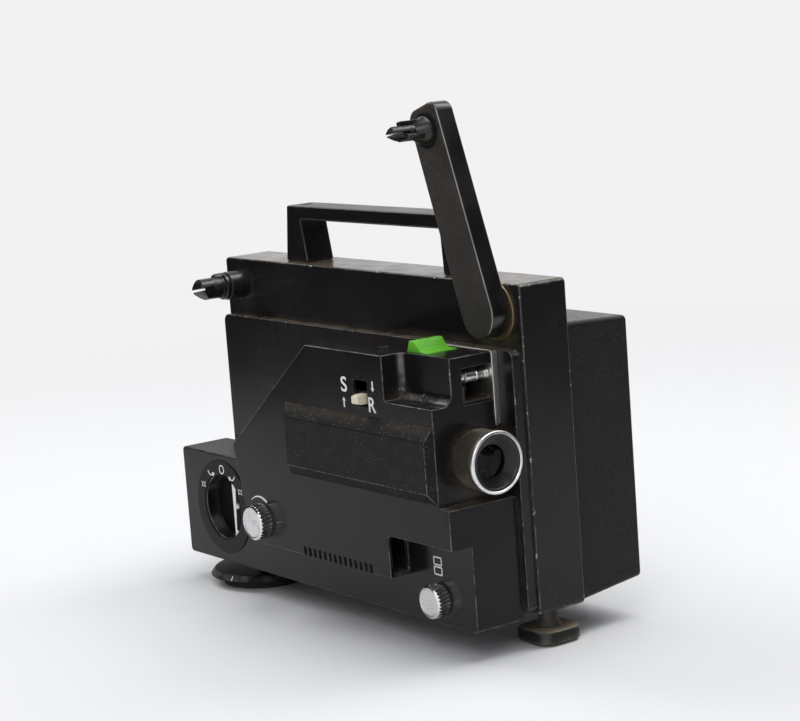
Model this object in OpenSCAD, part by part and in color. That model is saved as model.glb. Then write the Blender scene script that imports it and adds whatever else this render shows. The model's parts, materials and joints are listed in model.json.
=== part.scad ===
// Movie projector for small-gauge film, in millimetres.
// Working frame: X runs from the rear end towards the lens, Y from the film side (minus) to the back,
// Z up from the bottom of the main housing. place() moves it to the middle of the table it stands on.

/* [Main housing] */
// Length of the main housing along the lens axis
housing_l = 302; // [290:1:330]
// Depth of the main housing
housing_d = 33; // [31:1:40]
// Height of the main housing's band above the side cover
band_h = 36; // [32:1:45]
// Wall of the moulded shells
wall = 2.4; // [2:0.1:3]
// Corner radius of the main housing, seen from the film side
edge_r = 3; // [1:0.5:6]

/* [Rear cover] */
// How far the rear cover stands behind the main housing
rear_d = 50; // [44:1:60]
// Height of the rear cover
rear_h = 160; // [150:1:175]
// Inset of the rear cover from each end of the main housing
rear_inset = 4; // [3:0.5:10]
// How much each edge draws in towards the back
rear_taper = 4; // [2:0.5:6]
// Number of cooling slots in the back
rear_slots = 9; // [5:1:12]

/* [Side cover] */
// Thickness of the side cover
cover_t = 6.7; // [6:0.1:9]
// Height of the side cover's ledge
cover_h = 150; // [140:0.5:160]
// Inset of the side cover from the housing's ends
cover_inset = 3; // [2:0.5:6]

/* [Base casing] */
// Depth of the base casing from the housing's film-side face
base_d = 40; // [38:1:44]
// Drop from the side cover's ledge to the top of the base casing
block_h = 83; // [81:0.5:86]
// How far the base casing reaches below the housing
base_drop = 3; // [2:0.5:5]
// How far the base casing reaches past the housing's rear end
base_back = 8; // [6:1:14]
// Setback of the base casing from the housing's lens end
base_setback = 9; // [9:0.5:12]

/* [Front cover] */
// Depth of the front cover from the housing's film-side face
front_d = 54; // [52:1:58]
// Setback of the gate block from the housing's lens end
gate_setback = 15; // [12:1:18]
// Setback of the lower panel from the housing's lens end
panel_setback = 6; // [5:0.5:8]
// Height of the panel's lower edge
panel_z = 21.7; // [19:0.1:24]
// Drop from the top of the base casing to the panel's edge past the step
step_drop = 20.5; // [18:0.5:23]
// Setback of the step from the housing's lens end
step_setback = 65; // [60:1:70]
// Height of the ledge under the lens above the base casing
ledge_rise = 2; // [1.5:0.5:3]
// Place of the panel's slanted edge, as a share of the housing's length
slant_share = 0.553; // [0.54:0.001:0.57]
// Number of vents along the panel's lower edge
vents = 14; // [6:1:14]
// Depth of the finger recess
recess_d = 14; // [10:0.5:15]
// Length of the finger recess
recess_l = 44; // [40:1:48]
// Height of the finger recess
recess_h = 26; // [22:1:28]

/* [Lens housing] */
// How far the lens housing stands proud of the front cover
title_t = 7; // [5:0.5:9]
// Length of the lens housing
title_l = 145; // [130:1:150]
// Height of the lens housing at its foot
title_h = 44; // [40:1:46]
// Bevel along the lens housing's edges
title_bevel = 7.5; // [5:0.5:9]

/* [Lens] */
// Depth of the lens axis from the housing's film-side face
axis_d = 26.5; // [26:0.5:28]
// Height of the lens axis above the base casing
axis_rise = 25.5; // [25:0.5:27]
// Radius of the lens barrel
barrel_r = 14.75; // [13:0.25:15]
// Radius of the focus ring
focus_r = 17; // [16.5:0.25:18]
// Radius of the chrome trim ring
trim_r = 17.6; // [17.5:0.1:19]
// How far the lens reaches past the gate block
lens_reach = 20; // [18:1:24]
// Radius of the front glass
glass_r = 9.5; // [8:0.5:10.5]

/* [Supply arm] */
// Distance from the arm's pivot to its spindle
arm_l = 106.5; // [100:0.5:115]
// Lean of the arm towards the rear, in degrees
arm_lean = 18.7; // [15:0.1:25]
// Thickness of the arm
arm_t = 12; // [11:0.5:14]
// Radius of the arm at its pivot
arm_pivot_r = 14; // [12:0.5:15]
// Half width of the arm at its tip
arm_tip_w = 13.5; // [11:0.5:14]
// Setback of the pivot from the housing's lens end
arm_setback = 21.4; // [19:0.1:24]
// Height of the pivot above the side cover
arm_rise = 20; // [17:1:22]
// Radius of the pivot stud
stud_r = 5; // [4:0.5:6]

/* [Spindles] */
// Radius of the reel spindles
spindle_r = 6.3; // [6:0.1:6.5]
// Length of the supply spindle beyond its boss
supply_l = 20; // [17:1:24]
// Length of the take-up spindle beyond its boss
takeup_l = 18; // [17:1:24]
// Radius of the spindle shafts
shaft_r = 3; // [2.5:0.1:3.5]
// Distance of the take-up spindle from the rear end
takeup_x = 20.2; // [19:0.1:24]
// Length of the grooves in the supply spindle, from its tip
supply_groove = 11; // [9:1:13]
// Length of the grooves in the take-up spindle, from its tip
takeup_groove = 9; // [8:1:10]
// Width of the grooves in the spindles
groove_w = 3; // [2:0.5:3]

/* [Handle] */
// Length of the carrying handle
handle_l = 187; // [165:1:190]
// Height of the carrying handle
handle_h = 35; // [33:1:45]
// Width of the carrying handle
handle_w = 20; // [16:1:24]
// Thickness of the handle's bar
handle_bar = 8.5; // [7:0.5:11]

/* [Controls] */
// Radius of the speed knob
speed_r = 10.9; // [10:0.1:12]
// Radius of the framing knob
framing_r = 9.7; // [9:0.1:11]
// How far the knobs reach from their face
knob_reach = 9.7; // [9:0.1:12]
// Margin of the dial ring inside the base casing's face
dial_margin = 4.7; // [4:0.1:6]
// Width of the dial ring
ring_w = 9.8; // [9:0.1:11]
// Travel of the direction lever
switch_travel = 7; // [5:0.5:8]
// Travel of the threading button
button_travel = 3; // [2:0.5:3.5]

/* [Feet] */
// Height of the housing above the table
foot_h = 20; // [19:0.5:24]
// Radius of the rear foot
rear_foot_r = 36; // [30:1:38]
// Side of the front foot's plate
front_foot_w = 30; // [26:1:32]
// Radius of the front foot's screw
screw_r = 6; // [5:0.5:7]

/* [Drive] */
// Radius of the motor
motor_r = 14; // [13:0.5:14.5]
// Length of the motor
motor_l = 56; // [50:1:58]
// Radius of the shutter
shutter_r = 21.5; // [20.5:0.25:22]
// Radius of the motor's pulley
motor_pulley_r = 6; // [5:0.5:7]
// Radius of the shutter's pulley
shutter_pulley_r = 9; // [8:0.5:10]
// Radius of the worm wheel
wheel_r = 12; // [11:0.5:12.5]
// Radius of the take-up drive's pulleys
reel_pulley_r = 10; // [8:0.5:11]

/* [Hidden] */
$fn = 64;

// Clearances: running fit on a shaft, gap between moving faces, seat of a fixed pin
run = 0.05;
gap = 0.4;
seat = 0.02;
cut = 1;

// Heights that follow the side cover and the base casing
housing_h = cover_h + band_h;
base_h = cover_h - block_h;
base_z = -base_drop;
base_mid = (base_h + base_z) / 2;
ledge_z = base_h + ledge_rise;
step_z = base_h - step_drop;
axis_z = base_h + axis_rise;
arm_z = cover_h + arm_rise;

// Lens end: where the covers stop
gate_x = housing_l - gate_setback;
panel_x = housing_l - panel_setback;
base_x = housing_l - base_setback;
step_x = housing_l - step_setback;
slant_x = housing_l * slant_share;
lens_x = gate_x + lens_reach;
// Faces on the film side, and the outer face of the back
cover_y = -cover_t;
base_y = -base_d;
front_y = -front_d;
axis_y = -axis_d;
back_y = housing_d + rear_d;
cover_x = housing_l - cover_inset + 1;
cover_z = 2;
// The whole object's middle
knob_y = front_y - knob_reach;
mid_x = (lens_x - base_back) / 2;
mid_y = (back_y + knob_y) / 2;

// Front cover: corners of its slanted rear edge, vents along its lower edge, finger recess
slant_knee = [slant_x * 0.467, base_h + 14];
slant_heel = [slant_x * 0.521, base_h - 24];
slant_toe_x = slant_x * 0.635;
vent_x = slant_x - 15.7;
vent_pitch = 5.2;
vent_lean = -9;
vent_w = 2.9;
vent_h = 6.6;
vent_rise = -1;
recess_r = 5;
floor_r = 6;

// Cooling slots in the back
slot_pitch = 9;
slot_w = 3.2;
slot_h = 40;
slot_z = 88;

// Lens: bore of the barrel and the seat of the bezel in the trim ring
bore_r = barrel_r - 3;
bezel_r = barrel_r + run + 1 - seat;
barrel_back = 12;
barrel_short = 7;
light_r = 8;

// Supply arm and take-up
arm_x = housing_l - arm_setback;
arm_gap = 2;
arm_front = -arm_gap - arm_t;
arm_head = 13.9;
boss_r = 8.5;
boss_l = 5;
bush_l = 14;
bush_r = 9;
takeup_z = arm_z;
tip_step = 0.3;
groove_d = 3.2;

// Controls
speed_x = slant_x - 59;
speed_z = panel_z + 15.3;
framing_x = base_x - 27.8;
framing_z = base_z + 14.9;
dial_x = housing_l * 0.126;
dial_z = base_mid + 1;
dial_r = (base_h - base_z) / 2 - dial_margin;
well_r = dial_r - ring_w;
segment_x = well_r - 8.5;
knob_rim = 1.5;
knob_shaft_l = 8;
flute_r = 0.9;
ring_t = 0.8;
well_d = 12;
button = [20, 20];
button_x = gate_x - 43.3;
button_y = -36;
button_h = 6;
skirt_z = cover_h - wall - button_travel - 0.6;
lever = [6.2, 5.7];
lever_x = gate_x - 67;
lever_z = cover_h - 28.9;
lever_reach = 6.2;
lever_taper = 0.8;
slot_rear = 6.2;
slot_front = 1.2;
slot_low = 2.2;

// Film inlet in the gate block's end, with its roller and guide plate
inlet_h = 18.2;
inlet_y = -32;
inlet_z = cover_h - 27.2;
plate_t = 4.2;
plate_proud = 0.3;
plate_r = 2.5;
plate_l = 60;
plate_z = cover_h - 43;
plate_y = cover_y - plate_t;
roller_x = gate_x - 6;
roller_z = inlet_z + 14.6;
pin_r = 1.6;
sprocket_x = gate_x - 54;
sprocket_z = cover_h - 23;
sprocket_r = 9;
roller_y0 = inlet_y + 0.8;
roller_y1 = plate_y - gap;
sprocket_y0 = axis_y - 6;

// Drive train: motor below, shutter shaft above it, worm wheel on a cross shaft
motor_x = slant_x - 67;
motor_y = (base_y + wall + cover_y) / 2;
motor_z = base_mid + 4;
motor_shaft_r = 2.5;
belt_x = motor_x + motor_l + 8;
pulley_w = 8;
belt_w = 4;
belt_t = 2;
shutter_x = belt_x + 9;
shutter_y = cover_y - shutter_r - 0.8;
shutter_z = axis_z - 14;
frame_x = shutter_x + 5;
frame_t = 4;
worm_r = 4;
worm_l = 12;
wheel_x = frame_x + frame_t + 14;
wheel_z = shutter_z - worm_r - gap - wheel_r;
wheel_w = 6;
reel_belt_y = 8;
aperture_x = wheel_x + 8;
plate_side = 30;
plate_h = 36;
pressure_h = 32;
claw_x = frame_x + frame_t + gap;

// Lamp and transformer
lamp_x = slant_x - 41;
reflector_r = 16;
reflector_l = 20;
socket_r = 7;
chassis_y = housing_d - 8;
chassis_t = 2;
iron = [66, 40, 56];
iron_at = [76, chassis_y + chassis_t, 40];

// Feet
front_foot_x = housing_l - 14;
foot_y = housing_d / 2;
pad_t = 1.5;
plate_foot_t = 7;
foot_collar_z = -8.4;
rear_foot_x = 36;
rear_foot_y = -11;
side_foot_x = 60;
side_foot_y = back_y - 18;
side_foot_r = 9;
inlet_socket = [28, 20];
inlet_x = 36;
inlet_socket_z = 24;

// Handle and the screws that hold it and the front cover
screw_hole_r = 2;
screw_head_r = 3.4;
screw_sink = 5;
handle_shift = 5.2;
handle_x0 = (housing_l - handle_l) / 2 + handle_shift;
handle_x1 = handle_x0 + handle_l;
handle_post = 14;
handle_lean = 4.5;
handle_front_lean = 11.5;
handle_flare = 10;
handle_screw_x = [handle_x0 + handle_lean + handle_post / 2, handle_x1 - handle_front_lean - handle_post / 2];
cover_screw_x = gate_x - 65;
cover_screw_y = -36;
cover_screw_l = 8;

module place()
    translate([-mid_x, -mid_y, foot_h])
        children();

module block(x0, x1, y0, y1, z0, z1)
    translate([x0, y0, z0])
        cube([x1 - x0, y1 - y0, z1 - z0]);

module rod_x(x0, x1, y, z, r)
    translate([x0, y, z])
        rotate([0, 90, 0])
            cylinder(h = x1 - x0, r = r);

module rod_y(y0, y1, x, z, r)
    translate([x, y1, z])
        rotate([90, 0, 0])
            cylinder(h = y1 - y0, r = r);

module rod_z(z0, z1, x, y, r)
    translate([x, y, z0])
        cylinder(h = z1 - z0, r = r);

module cone_z(z0, z1, x, y, r0, r1)
    translate([x, y, z0])
        cylinder(h = z1 - z0, r1 = r0, r2 = r1);

// Outline in the XZ plane, drawn out from y0 to y1
module xz_slab(y0, y1)
    translate([0, y1, 0])
        rotate([90, 0, 0])
            linear_extrude(y1 - y0)
                children();

// Outline in the YZ plane, drawn out from x0 to x1
module yz_slab(x0, x1)
    translate([x0, 0, 0])
        rotate([90, 0, 90])
            linear_extrude(x1 - x0)
                children();

module rounded(x0, x1, z0, z1, r) {
    translate([x0 + r, z0])
        square([x1 - x0 - 2 * r, z1 - z0]);
    translate([x0, z0 + r])
        square([x1 - x0, z1 - z0 - 2 * r]);
    for (x = [x0 + r, x1 - r], z = [z0 + r, z1 - r])
        translate([x, z])
            circle(r);
}

// Loop of flat belt round two pulleys, in its own plane
module belt_loop(a, ra, b, rb)
    difference() {
        belt_fill(a, ra + gap + belt_t, b, rb + gap + belt_t);
        belt_fill(a, ra + gap, b, rb + gap);
    }

// Area that a tight loop round two circles takes in
module belt_fill(a, ra, b, rb)
    hull() {
        translate(a)
            circle(ra);
        translate(b)
            circle(rb);
    }

// Fluted knob on a shaft, with its face towards -Y
module fluted_knob(x, z, y, r) {
    flutes = 28;
    difference() {
        rod_y(y - knob_reach, y - gap, x, z, r);
        for (i = [0:flutes - 1])
            translate([x, 0, z])
                rotate([0, i * 360 / flutes, 0])
                    rod_y(y - knob_reach + knob_rim, y, r + flute_r / 2, 0, flute_r);
    }
    rod_y(y - gap, y + knob_shaft_l, x, z, shaft_r);
}

// Grooved reel spindle with its free end towards -Y
module grooved_spindle(x, z, y0, y1, groove_l) {
    difference() {
        union() {
            rod_y(y0 + groove_l + 1, y1, x, z, spindle_r);
            rod_y(y0, y0 + groove_l + 2, x, z, spindle_r - tip_step);
        }
        for (turn = [90, 210, 330])
            translate([x, 0, z])
                rotate([0, turn, 0])
                    block(spindle_r - groove_d, spindle_r + cut, y0 - cut, y0 + groove_l,
                        -groove_w / 2, groove_w / 2);
    }
}

module main_housing() color("#2b2a2c")
    difference() {
        union() {
            difference() {
                xz_slab(0, housing_d)
                    rounded(0, housing_l, 0, housing_h, edge_r);
                block(wall, housing_l - wall, wall, housing_d - wall, wall, housing_h - wall);
                block(rear_inset + wall, housing_l - rear_inset - wall, wall, housing_d + cut,
                    wall, rear_h - wall);
            }
            rod_z(wall, foot_h + wall, front_foot_x, foot_y, screw_r + wall);
        }
        rod_z(-cut, foot_h + wall + cut, front_foot_x, foot_y, screw_r + run);
        rod_y(-cut, wall + cut, arm_x, arm_z, stud_r + seat);
        rod_y(-cut, wall + cut, takeup_x, takeup_z, shaft_r + run);
        rod_y(-cut, wall + cut, wheel_x, wheel_z, shaft_r + run);
        for (x = handle_screw_x)
            rod_z(housing_h - wall - cut, housing_h + cut, x, foot_y, screw_hole_r + seat);
    }

// Solid outline of the rear cover, drawn in by an even margin
module rear_block(margin)
    hull() {
        xz_slab(housing_d - margin, housing_d + 0.1)
            rounded(rear_inset + margin, housing_l - rear_inset - margin, margin, rear_h - margin, edge_r);
        xz_slab(back_y - margin - 0.1, back_y - margin)
            rounded(rear_inset + rear_taper + margin, housing_l - rear_inset - rear_taper - margin,
                rear_taper + margin, rear_h - rear_taper + 1 - margin, edge_r);
    }

module rear_cover() color("#262527")
    difference() {
        union() {
            difference() {
                intersection() {
                    rear_block(0);
                    block(0, housing_l, housing_d, back_y, -cut, housing_h);
                }
                rear_block(wall);
            }
            rod_z(0, rear_taper + wall, side_foot_x, side_foot_y, side_foot_r);
        }
        for (i = [0:rear_slots - 1])
            translate([housing_l / 2 + (i - (rear_slots - 1) / 2) * slot_pitch, back_y, slot_z])
                block(-slot_w / 2, slot_w / 2, -wall - cut, cut, 0, slot_h);
        translate([inlet_x, back_y, inlet_socket_z])
            block(0, inlet_socket[0], -wall - cut, cut, 0, inlet_socket[1]);
    }

module side_cover() color("#2a292b")
    difference() {
        xz_slab(cover_y, 0)
            rounded(cover_inset, cover_x, cover_z, cover_h, edge_r + 2);
        block(cover_inset + wall, cover_x - wall, cover_y + wall, cut, cover_z + wall, cover_h - wall);
        rod_y(cover_y - cut, cut, wheel_x, wheel_z, shaft_r + run);
    }

module base_casing() color("#2b2a2c")
    difference() {
        union() {
            difference() {
                xz_slab(base_y, cover_y)
                    rounded(-base_back, base_x, base_z, base_h, edge_r);
                block(-base_back + wall, base_x - wall, base_y + wall, cover_y + cut,
                    base_z + wall, base_h - wall);
                block(motor_x - 10, base_x - wall, base_y + wall, cover_y + cut,
                    base_h - wall - cut, base_h + cut);
            }
            rod_y(base_y, base_y + well_d + wall, dial_x, dial_z, well_r + wall);
        }
        rod_y(base_y - cut, base_y + well_d, dial_x, dial_z, well_r);
        rod_y(base_y, base_y + well_d + wall + cut, dial_x, dial_z, shaft_r + run);
        rod_y(base_y - cut, base_y + wall + cut, framing_x, framing_z, shaft_r + run);
        // Window for the belt and the shutter, behind the front cover
        block(belt_x - belt_w, shutter_x + 4, base_y - cut, base_y + wall + cut,
            shutter_z - shutter_r - 2, base_h + cut);
    }

module front_outline()
    polygon([[slant_x, cover_h], slant_knee, slant_heel, [slant_toe_x, panel_z],
        [step_x, panel_z], [step_x, step_z], [panel_x, step_z], [panel_x, ledge_z],
        [gate_x, ledge_z], [gate_x, cover_h]]);

module front_cover() color("#2a292b")
    difference() {
        union() {
            difference() {
                xz_slab(front_y, cover_y)
                    front_outline();
                xz_slab(front_y + wall, cover_y + cut)
                    offset(delta = -wall)
                        front_outline();
            }
            block(gate_x - recess_l - wall, gate_x, front_y, front_y + recess_d + wall,
                cover_h - recess_h - wall, cover_h);
        }
        // Finger recess, open at the top and at the lens end
        intersection() {
            translate([0, 0, cover_h - recess_h])
                linear_extrude(recess_h + cut)
                    rounded(gate_x - recess_l, gate_x + recess_l, front_y - recess_l, front_y + recess_d,
                        recess_r);
            yz_slab(gate_x - recess_l, gate_x + recess_l)
                rounded(front_y - recess_l, front_y + recess_d, cover_h - recess_h, cover_h + recess_h,
                    floor_r);
        }
        // Room for the base casing behind the lower panel
        block(-base_back - cut, base_x, base_y, cut, base_z - cut, base_h);
        rod_x(gate_x - wall - cut, gate_x + cut, axis_y, axis_z, barrel_r + seat);
        block(gate_x - wall - cut, gate_x + cut, inlet_y, plate_y, inlet_z, inlet_z + inlet_h);
        // Air outlet in the step's end wall
        block(step_x - wall - cut, step_x + cut, front_y + wall, base_y - 1, panel_z + 1.5, step_z - 1.5);
        // Slot for the guide plate's edge
        block(gate_x - plate_l, gate_x + cut, plate_y, cut, plate_z, cover_h + cut);
        // Opening for the threading button
        block(button_x - gap, button_x + button[0] + gap, button_y - gap, button_y + button[1] + gap,
            cover_h - wall - cut, cover_h + cut);
        // Slot for the direction lever
        block(lever_x - slot_rear, lever_x + lever[0] + slot_front, front_y - cut, front_y + wall + cut,
            lever_z - slot_low, lever_z + lever[1] + switch_travel + gap);
        rod_y(front_y - cut, front_y + wall + cut, speed_x, speed_z, shaft_r + run);
        for (i = [0:vents - 1])
            translate([vent_x + i * vent_pitch, 0, panel_z + vent_rise])
                rotate([0, vent_lean, 0])
                    block(-vent_w / 2, vent_w / 2, front_y - cut, front_y + wall + cut, 0, vent_h);
        rod_z(cover_h - wall - cut, cover_h + cut, cover_screw_x, cover_screw_y, screw_hole_r + seat);
    }

// Chamfered cap on the front cover, along the lens
module lens_housing() color("#232224")
    polyhedron(
        points = [for (q = [[0, 0], [title_bevel, title_t]])
            for (c = [[0, 0], [1, 0], [1, 1], [0, 1]])
                [gate_x - title_l + c[0] * title_l + (c[0] == 0 ? q[0] : 0), front_y - q[1],
                    axis_z - title_h / 2 + c[1] * title_h + (c[1] == 0 ? q[0] : -q[0])]],
        faces = [[0, 3, 2, 1], [4, 5, 6, 7], [0, 1, 5, 4], [1, 2, 6, 5], [2, 3, 7, 6], [3, 0, 4, 7]]);

module carry_handle() color("#2a292b")
    difference() {
        xz_slab(foot_y - handle_w / 2, foot_y + handle_w / 2)
            difference() {
                polygon([[handle_x0, housing_h], [handle_x0 + handle_lean, housing_h + handle_h],
                    [handle_x1 - handle_front_lean, housing_h + handle_h], [handle_x1, housing_h]]);
                polygon([[handle_x0 + handle_post + handle_flare, housing_h - cut],
                    [handle_x0 + handle_lean + handle_post, housing_h + handle_h - handle_bar],
                    [handle_x1 - handle_front_lean - handle_post, housing_h + handle_h - handle_bar],
                    [handle_x1 - handle_post - handle_flare, housing_h - cut]]);
            }
        for (x = handle_screw_x) {
            rod_z(housing_h - cut, housing_h + handle_h + cut, x, foot_y, screw_hole_r + seat);
            rod_z(housing_h + handle_h - screw_sink, housing_h + handle_h + cut, x, foot_y,
                screw_head_r + gap / 2);
        }
    }

// Screw with a flat slotted head, its shank down along -Z
module slotted_screw(x, y, z, head_t, length)
    difference() {
        union() {
            rod_z(z, z + head_t, x, y, screw_head_r);
            rod_z(z - length, z, x, y, screw_hole_r);
        }
        block(x - screw_head_r, x + screw_head_r, y - 0.4, y + 0.4, z + head_t - 0.8, z + head_t + cut);
    }

module handle_screws() color("#8a8884")
    for (x = handle_screw_x)
        slotted_screw(x, foot_y, housing_h + handle_h - screw_sink, 2.2, handle_h);

module cover_screw() color("#5a5856")
    slotted_screw(cover_screw_x, cover_screw_y, cover_h, 1, cover_screw_l);

module lens_barrel() color("#1c1b1c")
    difference() {
        rod_x(aperture_x + barrel_back, lens_x - barrel_short, axis_y, axis_z, barrel_r);
        rod_x(aperture_x + barrel_back - cut, lens_x - barrel_short + cut, axis_y, axis_z, bore_r);
    }

module focus_ring() color("#1a1919") {
    ribs = 60;
    difference() {
        rod_x(gate_x + gap, lens_x - 3, axis_y, axis_z, focus_r);
        rod_x(gate_x, lens_x, axis_y, axis_z, barrel_r + run);
        for (i = [0:ribs - 1])
            rod_x(gate_x + 3, lens_x - 5, axis_y + (focus_r + 0.25) * cos(i * 360 / ribs),
                axis_z + (focus_r + 0.25) * sin(i * 360 / ribs), 0.6);
    }
}

module lens_trim_ring() color("#d8d8d8")
    difference() {
        rod_x(lens_x - 3, lens_x, axis_y, axis_z, trim_r);
        rod_x(lens_x - 4, lens_x + cut, axis_y, axis_z, bezel_r + seat);
    }

// Dark funnel inside the trim ring, down to the front glass
module lens_bezel() color("#151415")
    translate([lens_x, axis_y, axis_z])
        rotate([0, -90, 0])
            rotate_extrude()
                polygon([[bezel_r, 0.6], [bezel_r, 2.98], [barrel_r, 2.98], [barrel_r - 0.5, 6],
                    [glass_r + 0.5, 6.6], [glass_r + 1, 5.4]]);

module front_lens() color([0.5, 0.6, 0.65, 0.5])
    translate([lens_x - barrel_short, axis_y, axis_z])
        rotate([0, -90, 0])
            rotate_extrude()
                polygon([[0, 0], [bore_r - seat, 0.6], [bore_r - seat, 3], [0, 5]]);

module rear_lens() color([0.5, 0.6, 0.65, 0.5])
    rod_x(aperture_x + barrel_back + 2, aperture_x + barrel_back + 6, axis_y, axis_z, bore_r - seat);

module film_guide_plate() color("#b5afa5")
    difference() {
        xz_slab(plate_y, cover_y)
            rounded(gate_x - plate_l, gate_x + plate_proud, plate_z, cover_h + plate_proud, plate_r);
        rod_y(plate_y - cut, cover_y + cut, roller_x, roller_z, pin_r + seat);
        rod_y(plate_y - cut, cover_y + cut, sprocket_x, sprocket_z, pin_r + seat);
    }

module film_pins() color("#a9a7a3") {
    rod_y(roller_y0 - 1.2, cover_y, roller_x, roller_z, pin_r);
    rod_y(sprocket_y0 - 1.2, cover_y, sprocket_x, sprocket_z, pin_r);
}

module guide_roller() color("#d0cfcc")
    difference() {
        union() {
            rod_y(roller_y0, roller_y1, roller_x, roller_z, 3);
            rod_y(roller_y0 + 3, roller_y0 + 9, roller_x, roller_z, 3.8);
            rod_y(roller_y1 - 2, roller_y1, roller_x, roller_z, 3.6);
        }
        rod_y(roller_y0 - cut, roller_y1 + cut, roller_x, roller_z, pin_r + run);
    }

module film_sprocket() color("#8c8a87") {
    teeth = 18;
    difference() {
        union() {
            rod_y(sprocket_y0, roller_y1, sprocket_x, sprocket_z, sprocket_r);
            for (i = [0:teeth - 1])
                translate([sprocket_x, sprocket_y0 + 2, sprocket_z])
                    rotate([0, i * 360 / teeth, 0])
                        block(sprocket_r - 1, sprocket_r + 1, 0, 1, -0.4, 0.4);
        }
        rod_y(sprocket_y0 - cut, roller_y1 + cut, sprocket_x, sprocket_z, pin_r + run);
    }
}

// Wedge with its ridge near the rear, on a skirt that runs in the cover's opening
module thread_button() color("#3fbf2e") {
    xz_slab(button_y, button_y + button[1])
        polygon([[button_x, skirt_z], [button_x, cover_h + 0.6], [button_x + 2, cover_h + button_h],
            [button_x + 6.8, cover_h + button_h + 0.2], [button_x + 11, cover_h + 1.4],
            [button_x + 13.5, cover_h + 0.7], [button_x + button[0], cover_h + 0.5],
            [button_x + button[0], skirt_z]]);
    block(button_x - 2, button_x + button[0] + 2, button_y, button_y + button[1] + 2,
        skirt_z, cover_h - wall - gap);
}

module direction_lever() color("#e3dcc4") {
    yz_slab(lever_x, lever_x + lever[0])
        polygon([[front_y - lever_reach, lever_z + lever_taper], [front_y - lever_reach + 3, lever_z],
            [front_y + wall + gap, lever_z], [front_y + wall + gap, lever_z + lever[1]],
            [front_y - lever_reach + 3, lever_z + lever[1]],
            [front_y - lever_reach, lever_z + lever[1] - lever_taper]]);
    block(lever_x - slot_rear - 2, lever_x + lever[0] + slot_front + 1, front_y + wall + gap,
        front_y + wall + gap + 1.5, lever_z - switch_travel - slot_low, lever_z + lever[1] + 1);
}

module speed_knob() color("#c9c9c9")
    fluted_knob(speed_x, speed_z, front_y, speed_r);

module framing_knob() color("#c9c9c9")
    fluted_knob(framing_x, framing_z, base_y, framing_r);

module dial_ring() color("#302f31")
    difference() {
        rod_y(base_y - ring_t, base_y, dial_x, dial_z, dial_r);
        rod_y(base_y - ring_t - cut, base_y + cut, dial_x, dial_z, well_r + 1);
    }

// Dished knob in its well, turned by the raised segment at its side
module selector_knob() color("#1f1e1f") {
    floor_y = base_y + well_d - gap;
    rod_y(floor_y - 3, floor_y, dial_x, dial_z, well_r - gap);
    intersection() {
        block(dial_x + segment_x, dial_x + well_r, base_y, floor_y, dial_z - well_r, dial_z + well_r);
        rod_y(base_y, floor_y, dial_x, dial_z, well_r - gap);
    }
    rod_y(floor_y, floor_y + knob_shaft_l, dial_x, dial_z, shaft_r);
}

module at_arm()
    translate([arm_x, 0, arm_z])
        rotate([0, -arm_lean, 0])
            children();

module supply_arm() color("#2a2829")
    at_arm()
        difference() {
            xz_slab(arm_front, -arm_gap) {
                circle(arm_pivot_r);
                polygon([[-arm_pivot_r, 0], [arm_pivot_r, 0], [arm_tip_w, arm_l], [-arm_tip_w, arm_l]]);
                rounded(-arm_tip_w, arm_tip_w, arm_l - 8, arm_l + arm_head, 7);
            }
            rod_y(arm_front + 3, cut, 0, 0, stud_r + run);
            rod_y(arm_front - cut, arm_front + arm_t - 3, 0, arm_l, shaft_r + run);
        }

module arm_stud() color("#9a9894") {
    rod_y(arm_front + 3 + gap, wall, arm_x, arm_z, stud_r);
    rod_y(wall, wall + 3, arm_x, arm_z, stud_r + 3);
}

module arm_washer() color("#b08d57")
    difference() {
        rod_y(-arm_gap + gap, 0, arm_x, arm_z, arm_pivot_r + 2.5);
        rod_y(-arm_gap, cut, arm_x, arm_z, stud_r + seat);
    }

module supply_spindle() color("#1c1b1c")
    at_arm() {
        rod_y(arm_front - boss_l, arm_front - gap, 0, arm_l, boss_r);
        rod_y(arm_front - gap, arm_front + arm_t - 4, 0, arm_l, shaft_r);
        grooved_spindle(0, arm_l, arm_front - boss_l - supply_l, arm_front - boss_l, supply_groove);
    }

module takeup_bush() color("#242324")
    difference() {
        rod_y(-bush_l, 0, takeup_x, takeup_z, bush_r);
        rod_y(-bush_l - cut, cut, takeup_x, takeup_z, shaft_r + run);
    }

module takeup_spindle() color("#1c1b1c") {
    shoulder = 3;
    rod_y(-bush_l - gap - shoulder, -bush_l - gap, takeup_x, takeup_z, boss_r);
    grooved_spindle(takeup_x, takeup_z, -bush_l - gap - shoulder - takeup_l, -bush_l - gap - shoulder,
        takeup_groove);
    rod_y(-bush_l - gap, reel_belt_y + pulley_w, takeup_x, takeup_z, shaft_r);
}

// Grooved pulley on an axis along Y, bored for its shaft
module reel_pulley(x, z)
    difference() {
        union() {
            rod_y(reel_belt_y, reel_belt_y + pulley_w, x, z, reel_pulley_r);
            rod_y(reel_belt_y, reel_belt_y + 1, x, z, reel_pulley_r + 1.5);
        }
        rod_y(reel_belt_y - cut, reel_belt_y + pulley_w + cut, x, z, shaft_r + seat);
    }

module takeup_pulley() color("#50504e")
    reel_pulley(takeup_x, takeup_z);

module takeup_belt() color("#161616")
    xz_slab(reel_belt_y + 2, reel_belt_y + 2 + belt_w)
        belt_loop([wheel_x, wheel_z], reel_pulley_r, [takeup_x, takeup_z], reel_pulley_r);

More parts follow.
